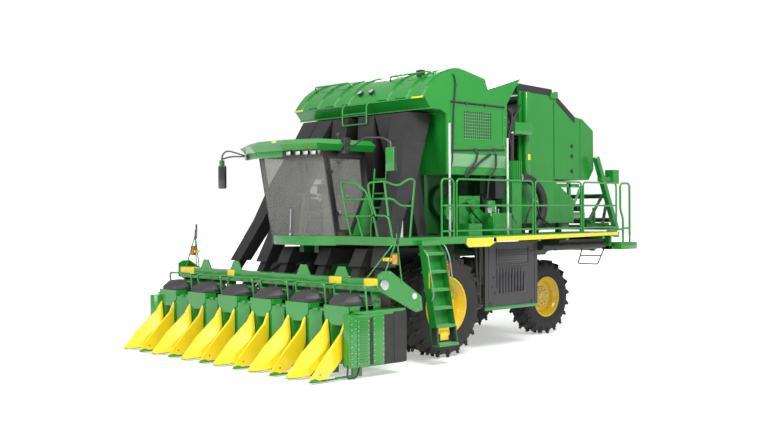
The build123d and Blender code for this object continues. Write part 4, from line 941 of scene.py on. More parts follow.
hand_over(copies(rivet, rivets, keep=False), "divider_rivets", "header", dark_steel)

# %% [markdown]
# ## Header details
# The row units hang on a square toolbar, on sliding sleeves. Their outer side is a bolted and
# perforated door with rubber strips between its panels, and skids run below. Bolts in rows are one
# small domed drum, copied along a line.

# %% Sleeves, hoods and columns
sleeves = []
for first, last in ((-2.91, -2.42), (-1.27, -1.04), (1.74, 2.06), (2.62, 2.99)):
    sleeves.append(block(spot(first, -2.337, 1.43), spot(last, -2.12, 1.568), 0.012))
hand_over(join(sleeves), "toolbar_sleeves", "header", yellow_paint)
caps = [
    drum(spot(side * 2.95, -2.23, 1.47), spot(side * 3.03, -2.23, 1.47), 0.085, 28, 0.01) for side in (1, -1)
]
studs = [
    drum(
        spot(side * 3.02, -2.23 + 0.06 * cos(turn), 1.47 + 0.06 * sin(turn)),
        spot(side * 3.036, -2.23 + 0.06 * cos(turn), 1.47 + 0.06 * sin(turn)), 0.009, 6, 0.001
    )
    for side in (1, -1) for turn in (tau * i / 8 for i in range(8))
]
hand_over(join(caps + studs), "toolbar_end_caps", "header", bright_steel)


hood_front = -4.19174
hood_forms = []
for x in rows:
    rings = [
        [(x - half, rear, z), (x - half, front + 1.6 * cut, z), (x - half + cut, front, z), (x + half - cut, front, z),
         (x + half, front + 1.6 * cut, z), (x + half, rear, z)]
        for z, half, front, rear, cut in (
            (1.152, 0.31, hood_front - 0.018, hood_front + 0.488, 0.12),
            (1.215, 0.31, hood_front - 0.012, hood_front + 0.488, 0.12),
            (1.302, 0.25, hood_front + 0.09, hood_front + 0.46, 0.09),
            (1.328, 0.2, hood_front + 0.18, hood_front + 0.42, 0.07),
        )
    ]
    hood_forms.append(ease(drawn_out(rings), 0.01, 2))
unit_caps = hand_over(join(hood_forms), "unit_hood_covers", "header", hood_plastic, 20)
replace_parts(unit_caps, "unit_hoods")
latches = [
    block((x + 0.346, hood_front + 0.3, 1.16), (x + 0.356, hood_front + 0.34, 1.21), 0.003) for x in rows
]
hand_over(join(latches), "hood_latches", "header", bright_steel)
columns = []
for x in rows:
    column = drawn_out([
        [(x - 0.33, hood_front + 0.5, z), (x - 0.33, hood_front + 0.2, z), (x - 0.22, hood_front + 0.004, z),
         (x + 0.22, hood_front + 0.004, z), (x + 0.33, hood_front + 0.2, z), (x + 0.33, hood_front + 0.5, z)]
        for z in (1.0, 1.149)
    ])
    columns.append(ease(column, 0.008))
hand_over(join(columns), "unit_front_columns", "header", green_paint)

# %% [markdown]
# The header's ends are closed by sheet with pressed strips and rows of bolts. One bolt is modelled and the
# rest are copies, because a row of equal bolts is what makes sheet look like sheet.

# %% Panels, strips and bolts on both ends of the header
end_x = 3.01
panels, strips = [], []
for side in (1, -1):
    for first, last, low, high, thick in (
        (-2.97, -2.85, 0.21, 1.02, 0.008), (-2.83, -2.57, 0.22, 0.96, 0.01), (-2.49, -2.25, 0.22, 1.0, 0.012),
        (-2.83, -2.25, 0.985, 1.03, 0.008),
    ):
        near, far = sorted((side * end_x, side * (end_x + thick)))
        panels.append(block(spot(near, first, low), spot(far, last, high), 0.003))
    near, far = sorted((side * end_x, side * (end_x + 0.006)))
    strips.append(block(spot(near, -2.56, 0.22), spot(far, -2.5, 0.97), 0.002))
    strips.append(block(spot(near, -2.24, 0.2), spot(far, -2.04, 1.0), 0.002))
    panels.append(ease(drawn_out([
        [
            spot(side * x, y, z) for x,
            y in ((2.8, -2.68), (2.8, -2.93), (2.86, -2.985), (2.99, -2.985), (3.012, -2.96), (3.012, -2.66))
        ]
        for z in (0.2, 1.03)
    ]), 0.006))
hand_over(join(panels), "header_end_panels", "header", green_paint)
hand_over(join(strips), "header_end_strips", "header", hose_rubber)
bolt = drum((0, 0, 0), (0.012, 0, 0), 0.01, 10, 0.003)
bolt_spots = []
for side in (1, -1):
    for y, low, high, count in (
        (-2.95, 0.26, 0.98, 9), (-2.87, 0.3, 0.94, 6), (-2.81, 0.27, 0.92, 10), (-2.59, 0.27, 0.92, 10),
        (-2.47, 0.28, 0.95, 9), (-2.27, 0.28, 0.95, 9),
    ):
        for i in range(count):
            z = low + (high - low) * i / (count - 1)
            bolt_spots.append(
                Matrix.Translation(
                    spot(side * (end_x + 0.006), y, z)
                ) @ Matrix.Rotation(0 if side > 0 else pi, 4, "Z")
            )
    for y, z in ((-1.4, 1.08), (-1.4, 1.18), (-1.47, 1.02), (-2.28, 1.42), (-2.28, 1.6), (-2.1, 1.66)):
        bolt_spots.append(
            Matrix.Translation(spot(side * 2.988, y, z)) @ Matrix.Rotation(0 if side > 0 else pi, 4, "Z")
        )
hand_over(copies(bolt, bolt_spots, keep=False), "header_end_bolts", "header", bright_steel)
# Dark discs on the end doors are painted shade for their perforations.
hole_shade_disc = drum((0, 0, 0), (0.003, 0, 0), 0.008, 8, 0)
hole_spots = []
for side in (1, -1):
    for i in range(5):
        for j in range(16):
            place = spot(side * (end_x + 0.0085), -2.77 + 0.035 * i, 0.28 + 0.042 * j)
            hole_spots.append(Matrix.Translation(place) @ Matrix.Rotation(0 if side > 0 else pi, 4, "Z"))
hand_over(copies(hole_shade_disc, hole_spots, keep=False), "header_panel_hole_shade", "header", hose_rubber)
reflectors = [
    drum(
        spot(side * 2.985, -1.53, 1.25), spot(side * 2.996, -1.53, 1.25), 0.05, 28, 0.003
    ) for side in (1, -1)
]
hand_over(join(reflectors), "end_plate_reflectors", "header", white_plastic)
skids = tubes(
    [[(x + side * 0.42, -2.98, 0.25), (x + side * 0.42, -3.0, 0.035), (x + side * 0.42, -2.8, 0.035), (x + side * 0.42, -2.72, 0.22)]
     for x in rows for side in (1, -1)], 0.016, 0.05,
)
hand_over(skids, "unit_skid_loops", "header", black_paint, 50)

# %% [markdown]
# Behind each hood a gear head drives the unit, with hoses to it. They are small drums and thin bent tubes
# that show only between the hoods, so they stay simple.

# %% Gear heads, hoses and brackets on the decks behind the hoods
deck_gear, deck_hoses = [], []
for x in rows:
    for side in (1, -1):
        deck_gear.append(drum((x + side * 0.2, -3.6, 1.07), (x + side * 0.2, -3.6, 1.2), 0.11, 28, 0.012))
        deck_gear.append(drum((x + side * 0.2, -3.6, 1.2), (x + side * 0.2, -3.6, 1.24), 0.06, 20, 0.008))
    deck_gear.append(block((x - 0.28, -3.64, 1.07), (x + 0.28, -3.56, 1.15), 0.012))
    deck_hoses.append(
        pipe(
            [(x + 0.2, -3.6, 1.23), (x + 0.2, -3.56, 1.33), (x + 0.12, -3.5, 1.36), (x + 0.1, -3.45, 1.5)],
            0.014, 0.06
        )
    )
    deck_hoses.append(
        pipe([(x - 0.1, -3.55, 1.12), (x - 0.14, -3.5, 1.3), (x - 0.12, -3.45, 1.5)], 0.012, 0.06)
    )
hand_over(join(deck_gear), "unit_gear_heads", "header", green_paint)
hand_over(join(deck_hoses), "unit_oil_hoses", "header", hose_rubber, 50)

# %% [markdown]
# ## Cab
# The cab is mostly glass between thin black pillars. Below the door is a green triangle, under the
# roof's edge a dark band with square lamps, and inside a beige seat. The cushions are padded: each is
# a plain form that cloth simulation swells, so that its faces crown and its edges stay drawn in.

# %% Padded seat
def padded_form(piece, voxel=0.012, cap=0.02):
    """Swells a closed form like a stuffed cushion, with no point moving further than the cap."""
    use(piece, "REMESH", mode="VOXEL", voxel_size=voxel)
    rest = [corner.co.copy() for corner in piece.data.vertices]
    pick(piece)
    cloth = piece.modifiers.new("padding", "CLOTH")
    cloth.settings.use_pressure = True
    cloth.settings.uniform_pressure_force = 4.0
    cloth.settings.effector_weights.gravity = 0.0
    cloth.point_cache.frame_start, cloth.point_cache.frame_end = 1, 20
    for moment in range(1, 21):
        bpy.context.scene.frame_set(moment)
    bpy.ops.object.modifier_apply(modifier="padding")
    bpy.context.scene.frame_set(1)
    for corner, start in zip(piece.data.vertices, rest):
        shift = corner.co - start
        if shift.length > cap:
            corner.co = start + shift.normalized() * cap
    return use(piece, "SUBSURF", levels=1, render_levels=1)


seat_y = -2.38174
cushion = padded_form(block((-0.235, seat_y - 0.245, 2.585), (0.235, seat_y + 0.19, 2.665), 0.03))
backrest = block((-0.225, seat_y + 0.125, 2.7), (0.225, seat_y + 0.2, 3.3), 0.03)
backrest.data.transform(
    Matrix.Translation((0, seat_y + 0.16, 2.7)) @ Matrix.Rotation(radians(-2.5), 4, "X") @ Matrix.Translation((0, -seat_y - 0.16, -2.7))
)
backrest = padded_form(backrest)
headrest = padded_form(
    block((-0.135, seat_y + 0.165, 3.355), (0.135, seat_y + 0.225, 3.505), 0.025), 0.01, 0.014
)
armrests = [
    padded_form(
        block((s * 0.32 - 0.04, seat_y - 0.16, 2.865), (s * 0.32 + 0.04, seat_y + 0.19, 2.91), 0.018), 0.01,
        0.008
    ) for s in (1, -1)
]
for piece, name in (
    (cushion, "seat_cushion"), (backrest, "seat_backrest"), (headrest, "seat_headrest"),
    (join(armrests), "seat_armrests")
):
    hand_over(piece, name, "chassis", seat_cloth, 60)
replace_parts(cushion, "seat")
seat_frame = join([
    block((-0.18, seat_y - 0.15, 2.22), (0.18, seat_y + 0.15, 2.5), 0.02),
    block((-0.25, seat_y - 0.26, 2.5), (0.25, seat_y + 0.22, 2.575), 0.02),
    *[
        block(
            (s * 0.29 - 0.02, seat_y + 0.12, 2.55), (s * 0.29 + 0.02, seat_y + 0.19, 2.87), 0.008
        ) for s in (1, -1)
    ],
    block((-0.05, seat_y + 0.175, 3.28), (0.05, seat_y + 0.2, 3.38), 0.004),
])
hand_over(seat_frame, "seat_frame", "chassis", black_paint)

# %% [markdown]
# The steering wheel is a ring with spokes, made at the origin and then tilted to the driver. It is seen
# through glass, so its outline matters more than its detail.

# %% Steering wheel, controls and monitor
wheel_seat = Vector((0.0, -2.85174 + 0.09, 2.985))
bpy.ops.object.select_all(action="DESELECT")
bpy.ops.mesh.primitive_torus_add(major_radius=0.185, minor_radius=0.015, major_segments=48, minor_segments=12)
steering_rim = settle(bpy.context.object)
spokes = [
    block((-0.18, -0.014, -0.012), (0.18, 0.014, 0.006), 0.004),
    drum((0, 0, -0.03), (0, 0, 0.012), 0.045, 24, 0.005)
]
steering = join([steering_rim, *spokes])
steering.data.transform(Matrix.Translation(wheel_seat) @ Matrix.Rotation(radians(-8.5), 4, "X"))
hand_over(steering, "steering_wheel", "chassis", hose_rubber, 50)
monitor = join([
    block(spot(0.42, -1.5, 2.99), spot(0.45, -1.24, 3.17), 0.006), drum(
        spot(0.46, -1.37, 2.9), spot(0.46, -1.37, 3.02), 0.012, 12
    ),
    drum(spot(0.5, -1.3, 2.95), spot(0.5, -1.3, 3.1), 0.012, 12), drum(
        spot(0.5, -1.3, 3.08), spot(0.5, -1.3, 3.14), 0.024, 16, 0.006
    ),
])
hand_over(monitor, "cab_monitor_and_lever", "chassis", black_paint)

# %% [markdown]
# Rubber seals run along the windscreen's edges, and a green panel closes the cab below its door. The seal
# is a thin tube along the pillar, and the panel is an outline extruded by its thickness.

# %% Pillars, seals and the green panel below the door
def cab_rear(z):
    return -0.6 - 0.123 * (z - 2.22)


door_panels = []
for side in (1, -1):
    near, far = sorted((side * 0.9605, side * 0.966))
    door_panels.append(sheet_metal(
        [(front_axle_y - 1.105, 2.226), (front_axle_y - 0.61, 2.226), (front_axle_y + cab_rear(3.0) + 0.004, 3.0),
         (front_axle_y + cab_rear(2.96) - 0.085, 2.96)], near, far,
    ))
hand_over(join(door_panels), "cab_side_panels", "chassis", green_paint)
pillar_seals = []
for side in (1, -1):
    x = side * 0.957
    pillar_seals.append(pipe([spot(x, -1.505, 2.235), spot(x, -1.79, 3.735)], 0.014, 0.02))
hand_over(join(pillar_seals), "windscreen_seals", "chassis", hose_rubber, 50)
bar = block(spot(0.988, -1.29, 2.93), spot(1.0, -1.15, 2.955), 0.003)
bar = join([bar, block(spot(0.984, -1.45, 2.62), spot(0.997, -1.36, 2.68), 0.004)])
hand_over(bar, "door_handle", "door", bright_steel)
wiper = join([
    pipe([spot(0.05, -1.84, 2.26), spot(0.1, -1.875, 2.34), spot(0.16, -1.9, 2.72)], 0.008, 0.04),
    drum(spot(0.05, -1.815, 2.25), spot(0.05, -1.85, 2.25), 0.028, 16, 0.005),
])
hand_over(wiper, "wiper_arm", "chassis", bright_steel, 50)

# %% [markdown]
# Under the roof's edge runs a dark band with work lamps, and a deeper green fascia beside it. The band
# follows the roof's corners, so it is one block for each straight run, turned to lie along it.

# %% Roof band, lamps and brackets
band_route = ((-1.1, -1.96), (-0.425, -2.215), (0.425, -2.215), (1.1, -1.96))
band_forms = []
for (ax, ay), (bx, by) in zip(band_route, band_route[1:]):
    run, way = Vector((bx - ax, by - ay, 0)).length, atan2(by - ay, bx - ax)
    strip = block((0, -0.02, -0.05), (run, 0.02, 0.05), 0.006)
    strip.data.transform(Matrix.Translation(spot(ax, ay, 3.708)) @ Matrix.Rotation(way, 4, "Z"))
    band_forms.append(strip)
hand_over(join(band_forms), "roof_lamp_band", "chassis", black_paint)
deep_fascia = []
for (ax, ay), (bx, by) in zip(band_route[:-1], ((-0.425, -2.215), (0.36, -2.215))):
    run, way = Vector((bx - ax, by - ay, 0)).length, atan2(by - ay, bx - ax)
    strip = block((0, -0.034, -0.058), (run, -0.012, 0.06), 0.004)
    strip.data.transform(Matrix.Translation(spot(ax, ay, 3.708)) @ Matrix.Rotation(way, 4, "Z"))
    deep_fascia.append(strip)
hand_over(join(deep_fascia), "roof_deep_fascia", "chassis", green_paint)
lamp_cases, lamp_faces = [], []
slope = atan2(0.255, 0.675)
for x, y in ((0.52, -2.2), (0.7, -2.132), (0.85, -2.075), (1.0, -2.018)):
    turn = Matrix.Translation(spot(x, y, 3.708)) @ Matrix.Rotation(slope, 4, "Z")
    case = block((-0.05, -0.05, -0.038), (0.05, 0.02, 0.038), 0.008)
    face = block((-0.042, -0.056, -0.03), (0.042, -0.049, 0.03), 0.002)
    case.data.transform(turn)
    face.data.transform(turn)
    lamp_cases.append(case)
    lamp_faces.append(face)
far_turn = Matrix.Translation(spot(-1.0, -2.02, 3.7)) @ Matrix.Rotation(-slope, 4, "Z")
far_case, far_face = block((-0.06, -0.05, -0.045), (0.06, 0.02, 0.045), 0.01), block(
    (-0.05, -0.057, -0.035), (0.05, -0.049, 0.035), 0.002
)
far_case.data.transform(far_turn)
far_face.data.transform(far_turn)
hand_over(join(lamp_cases + [far_case]), "roof_lamp_cases", "chassis", black_paint)
roof_faces = hand_over(join(lamp_faces + [far_face]), "roof_lamp_lenses", "chassis", lamp_glass)
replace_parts(roof_faces, "roof_lamps")
roof_top = join([
    drum(spot(0.9, -1.38, 3.94), spot(0.9, -1.38, 4.06), 0.012, 12), drum(
        spot(0.9, -1.38, 4.03), spot(0.9, -1.38, 4.09), 0.035, 20, 0.008
    ),
    block(
        spot(1.08, -1.47, 3.76), spot(1.17, -1.33, 3.99), 0.012
    ), block(spot(1.16, -1.46, 3.9), spot(1.2, -1.34, 3.98), 0.008),
    block(spot(1.16, -1.44, 3.79), spot(1.195, -1.36, 3.86), 0.008),
])
hand_over(roof_top, "roof_brackets", "chassis", black_paint)
hand_over(
    block(spot(0.22, -2.383, 3.9), spot(0.34, -2.372, 3.935), 0.002), "roof_marker", "chassis", yellow_paint,
)

# %% [markdown]
# ## Ladder and walkway side
# The access ladder is a green pressed box with folded treads. Its lower part hangs on rubber straps,
# so that it gives way when it hits a stump. Thin rails run beside it, with an extinguisher at the top.

# %% Ladder treads, straps, rails and plates
def ladder_middle(z):
    """The ladder's middle x at a height."""
    return 2.47 + (2.85 - 2.47) * (2.15 - z) / 1.81


treads, straps = [], []
for i in range(6):
    z = 0.34 + 0.31 * i
    x = ladder_middle(z)
    treads.append(block(spot(x - 0.045, -0.885, z + 0.04), spot(x + 0.118, -0.445, z + 0.046), 0.002))
    for j in range(4):
        treads.append(
            block(
                spot(x - 0.03 + 0.036 * j, -0.87, z + 0.046), spot(x - 0.02 + 0.036 * j, -0.46, z + 0.052),
                0.001
            )
        )
# The treads take the paler green, which is painted highlight.
hand_over(join(treads), "ladder_treads", "chassis", highlight_painted_green)
for y in (-0.9, -0.445):
    low, high = ladder_middle(0.4), ladder_middle(0.66)
    straps.append(block(spot(low - 0.05, y - 0.018, 0.36), spot(low + 0.07, y + 0.028, 0.66), 0.006))
hand_over(join(straps), "ladder_rubber_straps", "chassis", hose_rubber)
plate_x = ladder_middle(0.52)
ladder_plates = join([
    block(spot(plate_x + 0.02, -0.76, 0.43), spot(plate_x + 0.032, -0.56, 0.6), 0.004),
    block(
        spot(ladder_middle(1.45) + 0.1, -0.917, 1.33), spot(ladder_middle(1.45) + 0.125, -0.913, 1.6), 0.001
    ),
])
hand_over(ladder_plates, "ladder_yellow_plates", "chassis", yellow_paint)
ladder_rails = tubes(
    [
        [(2.63, -0.93, 1.98), (2.72, -0.93, 1.9), (2.86, -0.93, 1.2), (2.8, -0.93, 1.12)],
        [(2.5, -0.4, 2.1), (2.62, -0.4, 2.06), (2.73, -0.4, 1.86), (2.84, -0.4, 1.2), (2.78, -0.4, 1.12)],
    ], 0.012, 0.07,
)
hand_over(ladder_rails, "ladder_hand_rails", "chassis", highlight_painted_green, 50)
extinguisher = join([
    drum(
        spot(2.4, -0.12, 1.45), spot(2.4, -0.12, 1.72), 0.055, 28, 0.02
    ), drum(spot(2.4, -0.12, 1.72), spot(2.4, -0.12, 1.77), 0.02, 16, 0.005),
])
# The extinguisher's faint glow is painted light.
hand_over(extinguisher, "fire_extinguisher", "chassis", red_lens_with_painted_glow, 50)
bracket = join([
    block(spot(2.3, -0.19, 1.5), spot(2.335, -0.05, 1.98), 0.004), block(
        spot(2.33, -0.185, 1.53), spot(2.41, -0.055, 1.555), 0.004
    ),
    drum(spot(2.4, -0.12, 1.77), spot(2.4, -0.17, 1.79), 0.01, 10),
])
hand_over(bracket, "extinguisher_bracket", "chassis", black_paint)

# %% [markdown]
# A walkway has bars that give grip, and a step that folds away. The bars are many and equal, so a loop
# places them, and each has few faces.

# %% Walkway: grating bars, fold-away step and the pipe below the edge
deck_bars = []
for side in (1, -1):
    for i in range(45):
        y = 1.6 + i * 0.08 if side > 0 else 0.9 + i * 0.095
        deck_bars.append(Matrix.Translation(spot(side * 2.2, y, 2.2)))
grate_bar = block((-0.2, -0.012, 0.0), (0.2, 0.012, 0.006), 0.002)
hand_over(copies(grate_bar, deck_bars, keep=False), "walkway_treads", "chassis", green_paint)
under = join([
    drum(spot(side * 2.28, 2.75, 1.93), spot(side * 2.28, 4.9, 1.93), 0.055, 24, 0.008) for side in (1, -1)
])
hand_over(under, "walkway_side_pipes", "chassis", hose_rubber, 50)
fold_step = tubes(
    [
        [
            (2.25, 4.16, 1.9), (2.25, 4.0, 1.56), (2.25, 4.69, 1.52), (2.25, 4.95, 1.88)
        ], [(2.25, 4.08, 1.72), (2.25, 4.82, 1.7)],
    ], 0.014, 0.04,
)
hand_over(fold_step, "fold_away_step", "chassis", black_paint, 50)

# %% [markdown]
# The side panels of the engine bay are pressed sheet with louvres that let air through. Each louvre is a
# shallow raised strip, repeated along the panel. Thin black sheets behind the louvres are painted shade
# for the openings.

# %% Louvred engine panels
panel_trim, louvre_shade_and_plates = [], []
for side in (1, -1):
    def outside(y, z, depth, side=side):
        return spot(side * (2.2 + depth), y, z)

    def plate(first, last, low, high, start, thick, edge=0.002):
        a, b = outside(first, low, start), outside(last, high, start + thick)
        return block([min(p, q) for p, q in zip(a, b)], [max(p, q) for p, q in zip(a, b)], edge)

    # These two thin black sheets behind the louvres are painted shade for the openings.
    louvre_shade_and_plates += [plate(1.5, 2.42, 1.63, 1.92, 0.0, 0.004), plate(1.55, 2.34, 1.06, 1.47, 0.0, 0.004)]
    panel_trim += [
        plate(1.5, 2.42, 1.6, 1.63, 0.0, 0.018), plate(1.47, 1.5, 1.6, 1.95, 0.0, 0.012),
        plate(2.42, 2.45, 1.6, 1.95, 0.0, 0.012)
    ]
    panel_trim += [plate(1.52, 2.4, 1.65 + 0.045 * i, 1.662 + 0.045 * i, 0.003, 0.012) for i in range(6)]
    panel_trim += [
        plate(1.56 + 0.088 * i, 1.602 + 0.088 * i, 1.075, 1.455, 0.003, 0.02, 0.009) for i in range(9)
    ]
    panel_trim += [plate(1.24, 1.26, 0.85, 2.0, 0.0, 0.006), plate(2.62, 2.64, 0.85, 2.0, 0.0, 0.006)]
    for y, z in ((1.4, 1.38), (1.45, 1.08), (1.36, 1.2), (1.3, 0.88), (2.55, 0.88), (2.55, 1.85)):
        louvre_shade_and_plates.append(plate(y - 0.03, y + 0.03, z - 0.02, z + 0.02, 0.0, 0.012, 0.004))
hand_over(join(panel_trim), "engine_panel_louvres", "chassis", hatch_paint)
hand_over(join(louvre_shade_and_plates), "engine_panel_louvre_shade_and_plates", "chassis", black_paint)
sills = join([
    block(spot(side * 2.2 - 0.02, 1.12, 0.765), spot(side * 2.2 + 0.02, 2.7, 0.83), 0.008) for side in (1, -1)
])
hand_over(sills, "engine_panel_sills", "chassis", green_paint)
strip = tubes(
    [[(side * 2.17, 1.02, 2.0), (side * 2.17, 1.02, 0.85)] for side in (1, -1)] + [
        [(side * 2.15, 0.93, 2.0), (side * 2.15, 0.95, 1.5), (side * 2.15, 1.02, 0.9)] for side in (1, -1)
    ],
    0.028
)
hand_over(strip, "engine_panel_pipes", "chassis", hose_rubber, 50)

# %% [markdown]
# ## Cotton box
# The box's side carries a wire screen, black conduits along its panel joints, and a pale band at its
# foot, which is painted highlight. The screen's pale wires are painted highlight too, and a dark sheet
# behind them is painted shade. The front hood is edged with a lip, two small yellow reflectors and two
# work lamps.

# %% Conduits, seams and the screen on the box
conduits = []
for side in (1, -1):
    x = side * 1.915
    conduits += [
        [
            (side * 1.8, 0.5, 5.27), (x, 0.6, 5.24), (x, 0.66, 5.1), (x, 0.6, 4.5), (x, 0.56, 3.6),
            (x, 0.46, 3.36)
        ],
        [(x, 0.53, 4.715), (x, 2.06, 4.7)], [(x, 0.6, 3.8), (x, 2.06, 3.86)],
    ]
hand_over(tubes(conduits, 0.016), "box_conduits", "chassis", hose_rubber, 50)
clips = [
    block(
        spot(min(side * 1.9, side * 1.936), y - 0.018, z - 0.03),
        spot(max(side * 1.9, side * 1.936), y + 0.018, z + 0.03), 0.004
    )
    for side in (1, -1) for y, z in (
        (0.66, 5.02), (0.63, 4.8), (0.6, 4.3), (0.58, 4.05), (0.95, 4.705), (1.5, 4.703), (1.2, 3.83),
        (1.75, 3.85)
    )
]
hand_over(join(clips), "conduit_clips", "chassis", dark_steel)
frames, wires, bands, screen_shade_backs = [], [], [], []
for side in (1, -1):
    def face(first, last, low, high, start, thick, edge=0.002, side=side):
        a, b = spot(side * (1.9 + start), first, low), spot(side * (1.9 + start + thick), last, high)
        return block([min(p, q) for p, q in zip(a, b)], [max(p, q) for p, q in zip(a, b)], edge)

    frames += [
        face(0.545, 2.04, 3.92, 3.95, 0, 0.008), face(0.545, 2.04, 4.655, 4.69, 0, 0.008),
        face(0.53, 0.56, 3.9, 4.7, 0, 0.008), face(2.02, 2.05, 3.9, 4.7, 0, 0.008)
    ]
    wires += [face(0.886 + 0.062 * i, 0.895 + 0.062 * i, 4.03, 4.57, -0.009, 0.006, 0) for i in range(13)]
    wires += [face(0.89, 1.69, 4.035 + 0.059 * i, 4.044 + 0.059 * i, -0.007, 0.006, 0) for i in range(10)]
    # A dark sheet behind the wires is painted shade for the box's inside, seen through the screen.
    screen_shade_backs.append(face(0.89, 1.69, 4.03, 4.57, -0.0118, 0.001, 0))
    # The band at the box's foot is painted highlight.
    bands += [face(0.46, 2.1, 3.5, 3.74, 0, 0.006)]
hand_over(join(frames), "screen_frames", "chassis", green_paint)
# The wires take the paler green, which is painted highlight.
hand_over(join(wires), "screen_wires", "chassis", highlight_painted_green)
hand_over(join(screen_shade_backs), "screen_painted_shade_backs", "chassis", shade_darkened_green)
hand_over(join(bands), "box_painted_highlight_bands", "chassis", band_highlight_green)
dots = []
for side in (1, -1):
    for i in range(9):
        dots.append(spot(side * 1.902, 1.62 + 0.1 * i, 5.06 + 0.022 * i))
    for i in range(8):
        dots.append(spot(side * 1.902, 0.5 + 0.2 * i, 3.44))
    for i in range(6):
        dots.append(spot(side * 1.902, 2.1, 3.5 + 0.2 * i))
dot = drum((-0.006, 0, 0), (0.006, 0, 0), 0.01, 10, 0.003)
hand_over(copies(dot, dots, keep=False), "box_bolts", "chassis", bright_steel)
lips = join([
    block(
        spot(-1.89, -0.19, 4.735), spot(1.89, -0.16, 4.765), 0.006
    ), block(spot(-1.92, -0.02, 4.545), spot(1.92, 0.015, 4.575), 0.006),
])
hand_over(lips, "hood_front_lip", "chassis", green_paint)
marks = join(
    [
        block(
            spot(side * 1.74 - 0.14, -0.199, 4.74), spot(side * 1.74 + 0.14, -0.191, 4.775), 0.002
        ) for side in (1, -1)
    ]
)
hand_over(marks, "hood_reflectors", "chassis", yellow_paint)
top_bars = tubes(
    [
        [
            (side * 0.54, 0.3, 5.17), (side * 0.6, 0.2, 5.27), (side * 1.69, 0.2, 5.27),
            (side * 1.75, 0.32, 5.2)
        ] for side in (1, -1)
    ],
    0.017,
)
top_box = block(spot(1.28, 0.24, 5.22), spot(1.42, 0.36, 5.34), 0.015)
hand_over(top_bars, "hood_top_rails", "chassis", green_paint, 50)
hand_over(top_box, "hood_top_camera", "chassis", black_paint)
frame_routes = [
    [
        (-0.27, -0.17, 4.775), (-0.27, -0.262, 4.7), (-0.27, -0.262, 4.35), (0.43, -0.262, 4.35),
        (0.43, -0.262, 4.7), (0.43, -0.17, 4.775)
    ],
    [(-0.27, -0.262, 4.56), (0.43, -0.262, 4.56)],
]
hand_over(tubes(frame_routes, 0.0155, 0.03), "hood_camera_frame", "chassis", green_paint, 50)

# %% [markdown]
# Two work lamps sit on the hood's slope. Each has a raised rim round its lens, so that light catches its edge.

# %% Work lamps on the hood, with rims
lamp_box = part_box("hood_lamps")
lamp_slope = Vector((0, -0.68, 0.73)).normalized()
lamp_rims, lamp_glasses = [], []
for x in (0.02, 0.34):
    middle = Vector((x, (lamp_box[0][1] + lamp_box[1][1]) / 2, (lamp_box[0][2] + lamp_box[1][2]) / 2))
    lamp_rims.append(drum(middle - lamp_slope * 0.03, middle + lamp_slope * 0.03, 0.062, 28, 0.006))
    lamp_glasses.append(drum(middle + lamp_slope * 0.028, middle + lamp_slope * 0.034, 0.05, 28, 0.002))
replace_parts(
    hand_over(join(lamp_rims), "hood_lamp_cases", "chassis", black_paint), "hood_lamps"
)
hand_over(join(lamp_glasses), "hood_lamp_lenses", "chassis", lamp_glass)

# %% [markdown]
# The ducts are joined from lengths, with a flange at each joint. A slightly larger thin block at each level
# shows that flange.

# %% Seams and lower panels of the air ducts
seams = []
for side, first in ((1, 0), (-1, 0)):
    for z, y_front, y_rear, x, half in (
        (2.5, -1.17, -0.84, 1.845, 0.165), (3.25, -0.8, -0.4, 1.755, 0.18), (3.95, -0.48, 0.08, 1.46, 0.21)
    ):
        seams.append(
            block(
                spot(side * x - half - 0.004, y_front - 0.004, z - 0.012),
                spot(side * x + half + 0.004, y_rear + 0.004, z + 0.012), 0.003
            )
        )
hand_over(join(seams), "duct_seams", "chassis", duct_plastic)

# %% [markdown]
# ## Machinery behind the rails
# Behind the guard rails stand pulleys, valves and hoses of the fan drive. Only their outline shows, so
# round housings, a few belts' pulleys and hoses with true bends are enough.

# %% Pulleys, housings, valves and hoses
pulleys = []
for y, z, r in ((0.62, 2.62, 0.17), (1.36, 2.5, 0.2), (1.62, 2.42, 0.14), (1.2, 2.78, 0.11)):
    pulleys.append(drum(spot(1.77, y, z), spot(1.84, y, z), r, 40, 0.008))
    pulleys.append(drum(spot(1.84, y, z), spot(1.87, y, z), r * 0.45, 28, 0.006))
    pulleys.append(drum(spot(-1.84, y, z), spot(-1.77, y, z), r, 40, 0.008))
hand_over(join(pulleys), "fan_drive_pulleys", "chassis", green_paint, 40)
housings = join([
    block(spot(side * 1.95 - 0.16, 1.5, 2.2), spot(side * 1.95 + 0.16, 2.05, 2.62), 0.02) for side in (1, -1)
] + [drum(spot(side * 1.95, 1.6, 2.62), spot(side * 1.95, 1.6, 2.86), 0.09, 28, 0.02) for side in (1, -1)])
hand_over(housings, "fan_drive_housings", "chassis", green_paint, 40)
small_parts = join([
    block(spot(2.02, 1.36, 2.62), spot(2.1, 1.46, 2.72), 0.008), drum(
        spot(2.05, 1.46, 2.68), spot(2.05, 1.5, 2.56), 0.02, 14
    ),
    drum(
        spot(2.0, 2.82, 2.88), spot(2.0, 2.98, 2.84), 0.022, 16, 0.004
    ), drum(spot(2.0, 2.9, 2.82), spot(2.0, 2.9, 2.98), 0.014, 12),
    drum(
        spot(2.04, 1.64, 2.5), spot(2.04, 1.64, 2.76), 0.016, 12
    ), drum(spot(2.04, 1.72, 2.5), spot(2.04, 1.72, 2.7), 0.016, 12),
])
hand_over(small_parts, "fan_drive_fittings", "chassis", bright_steel)
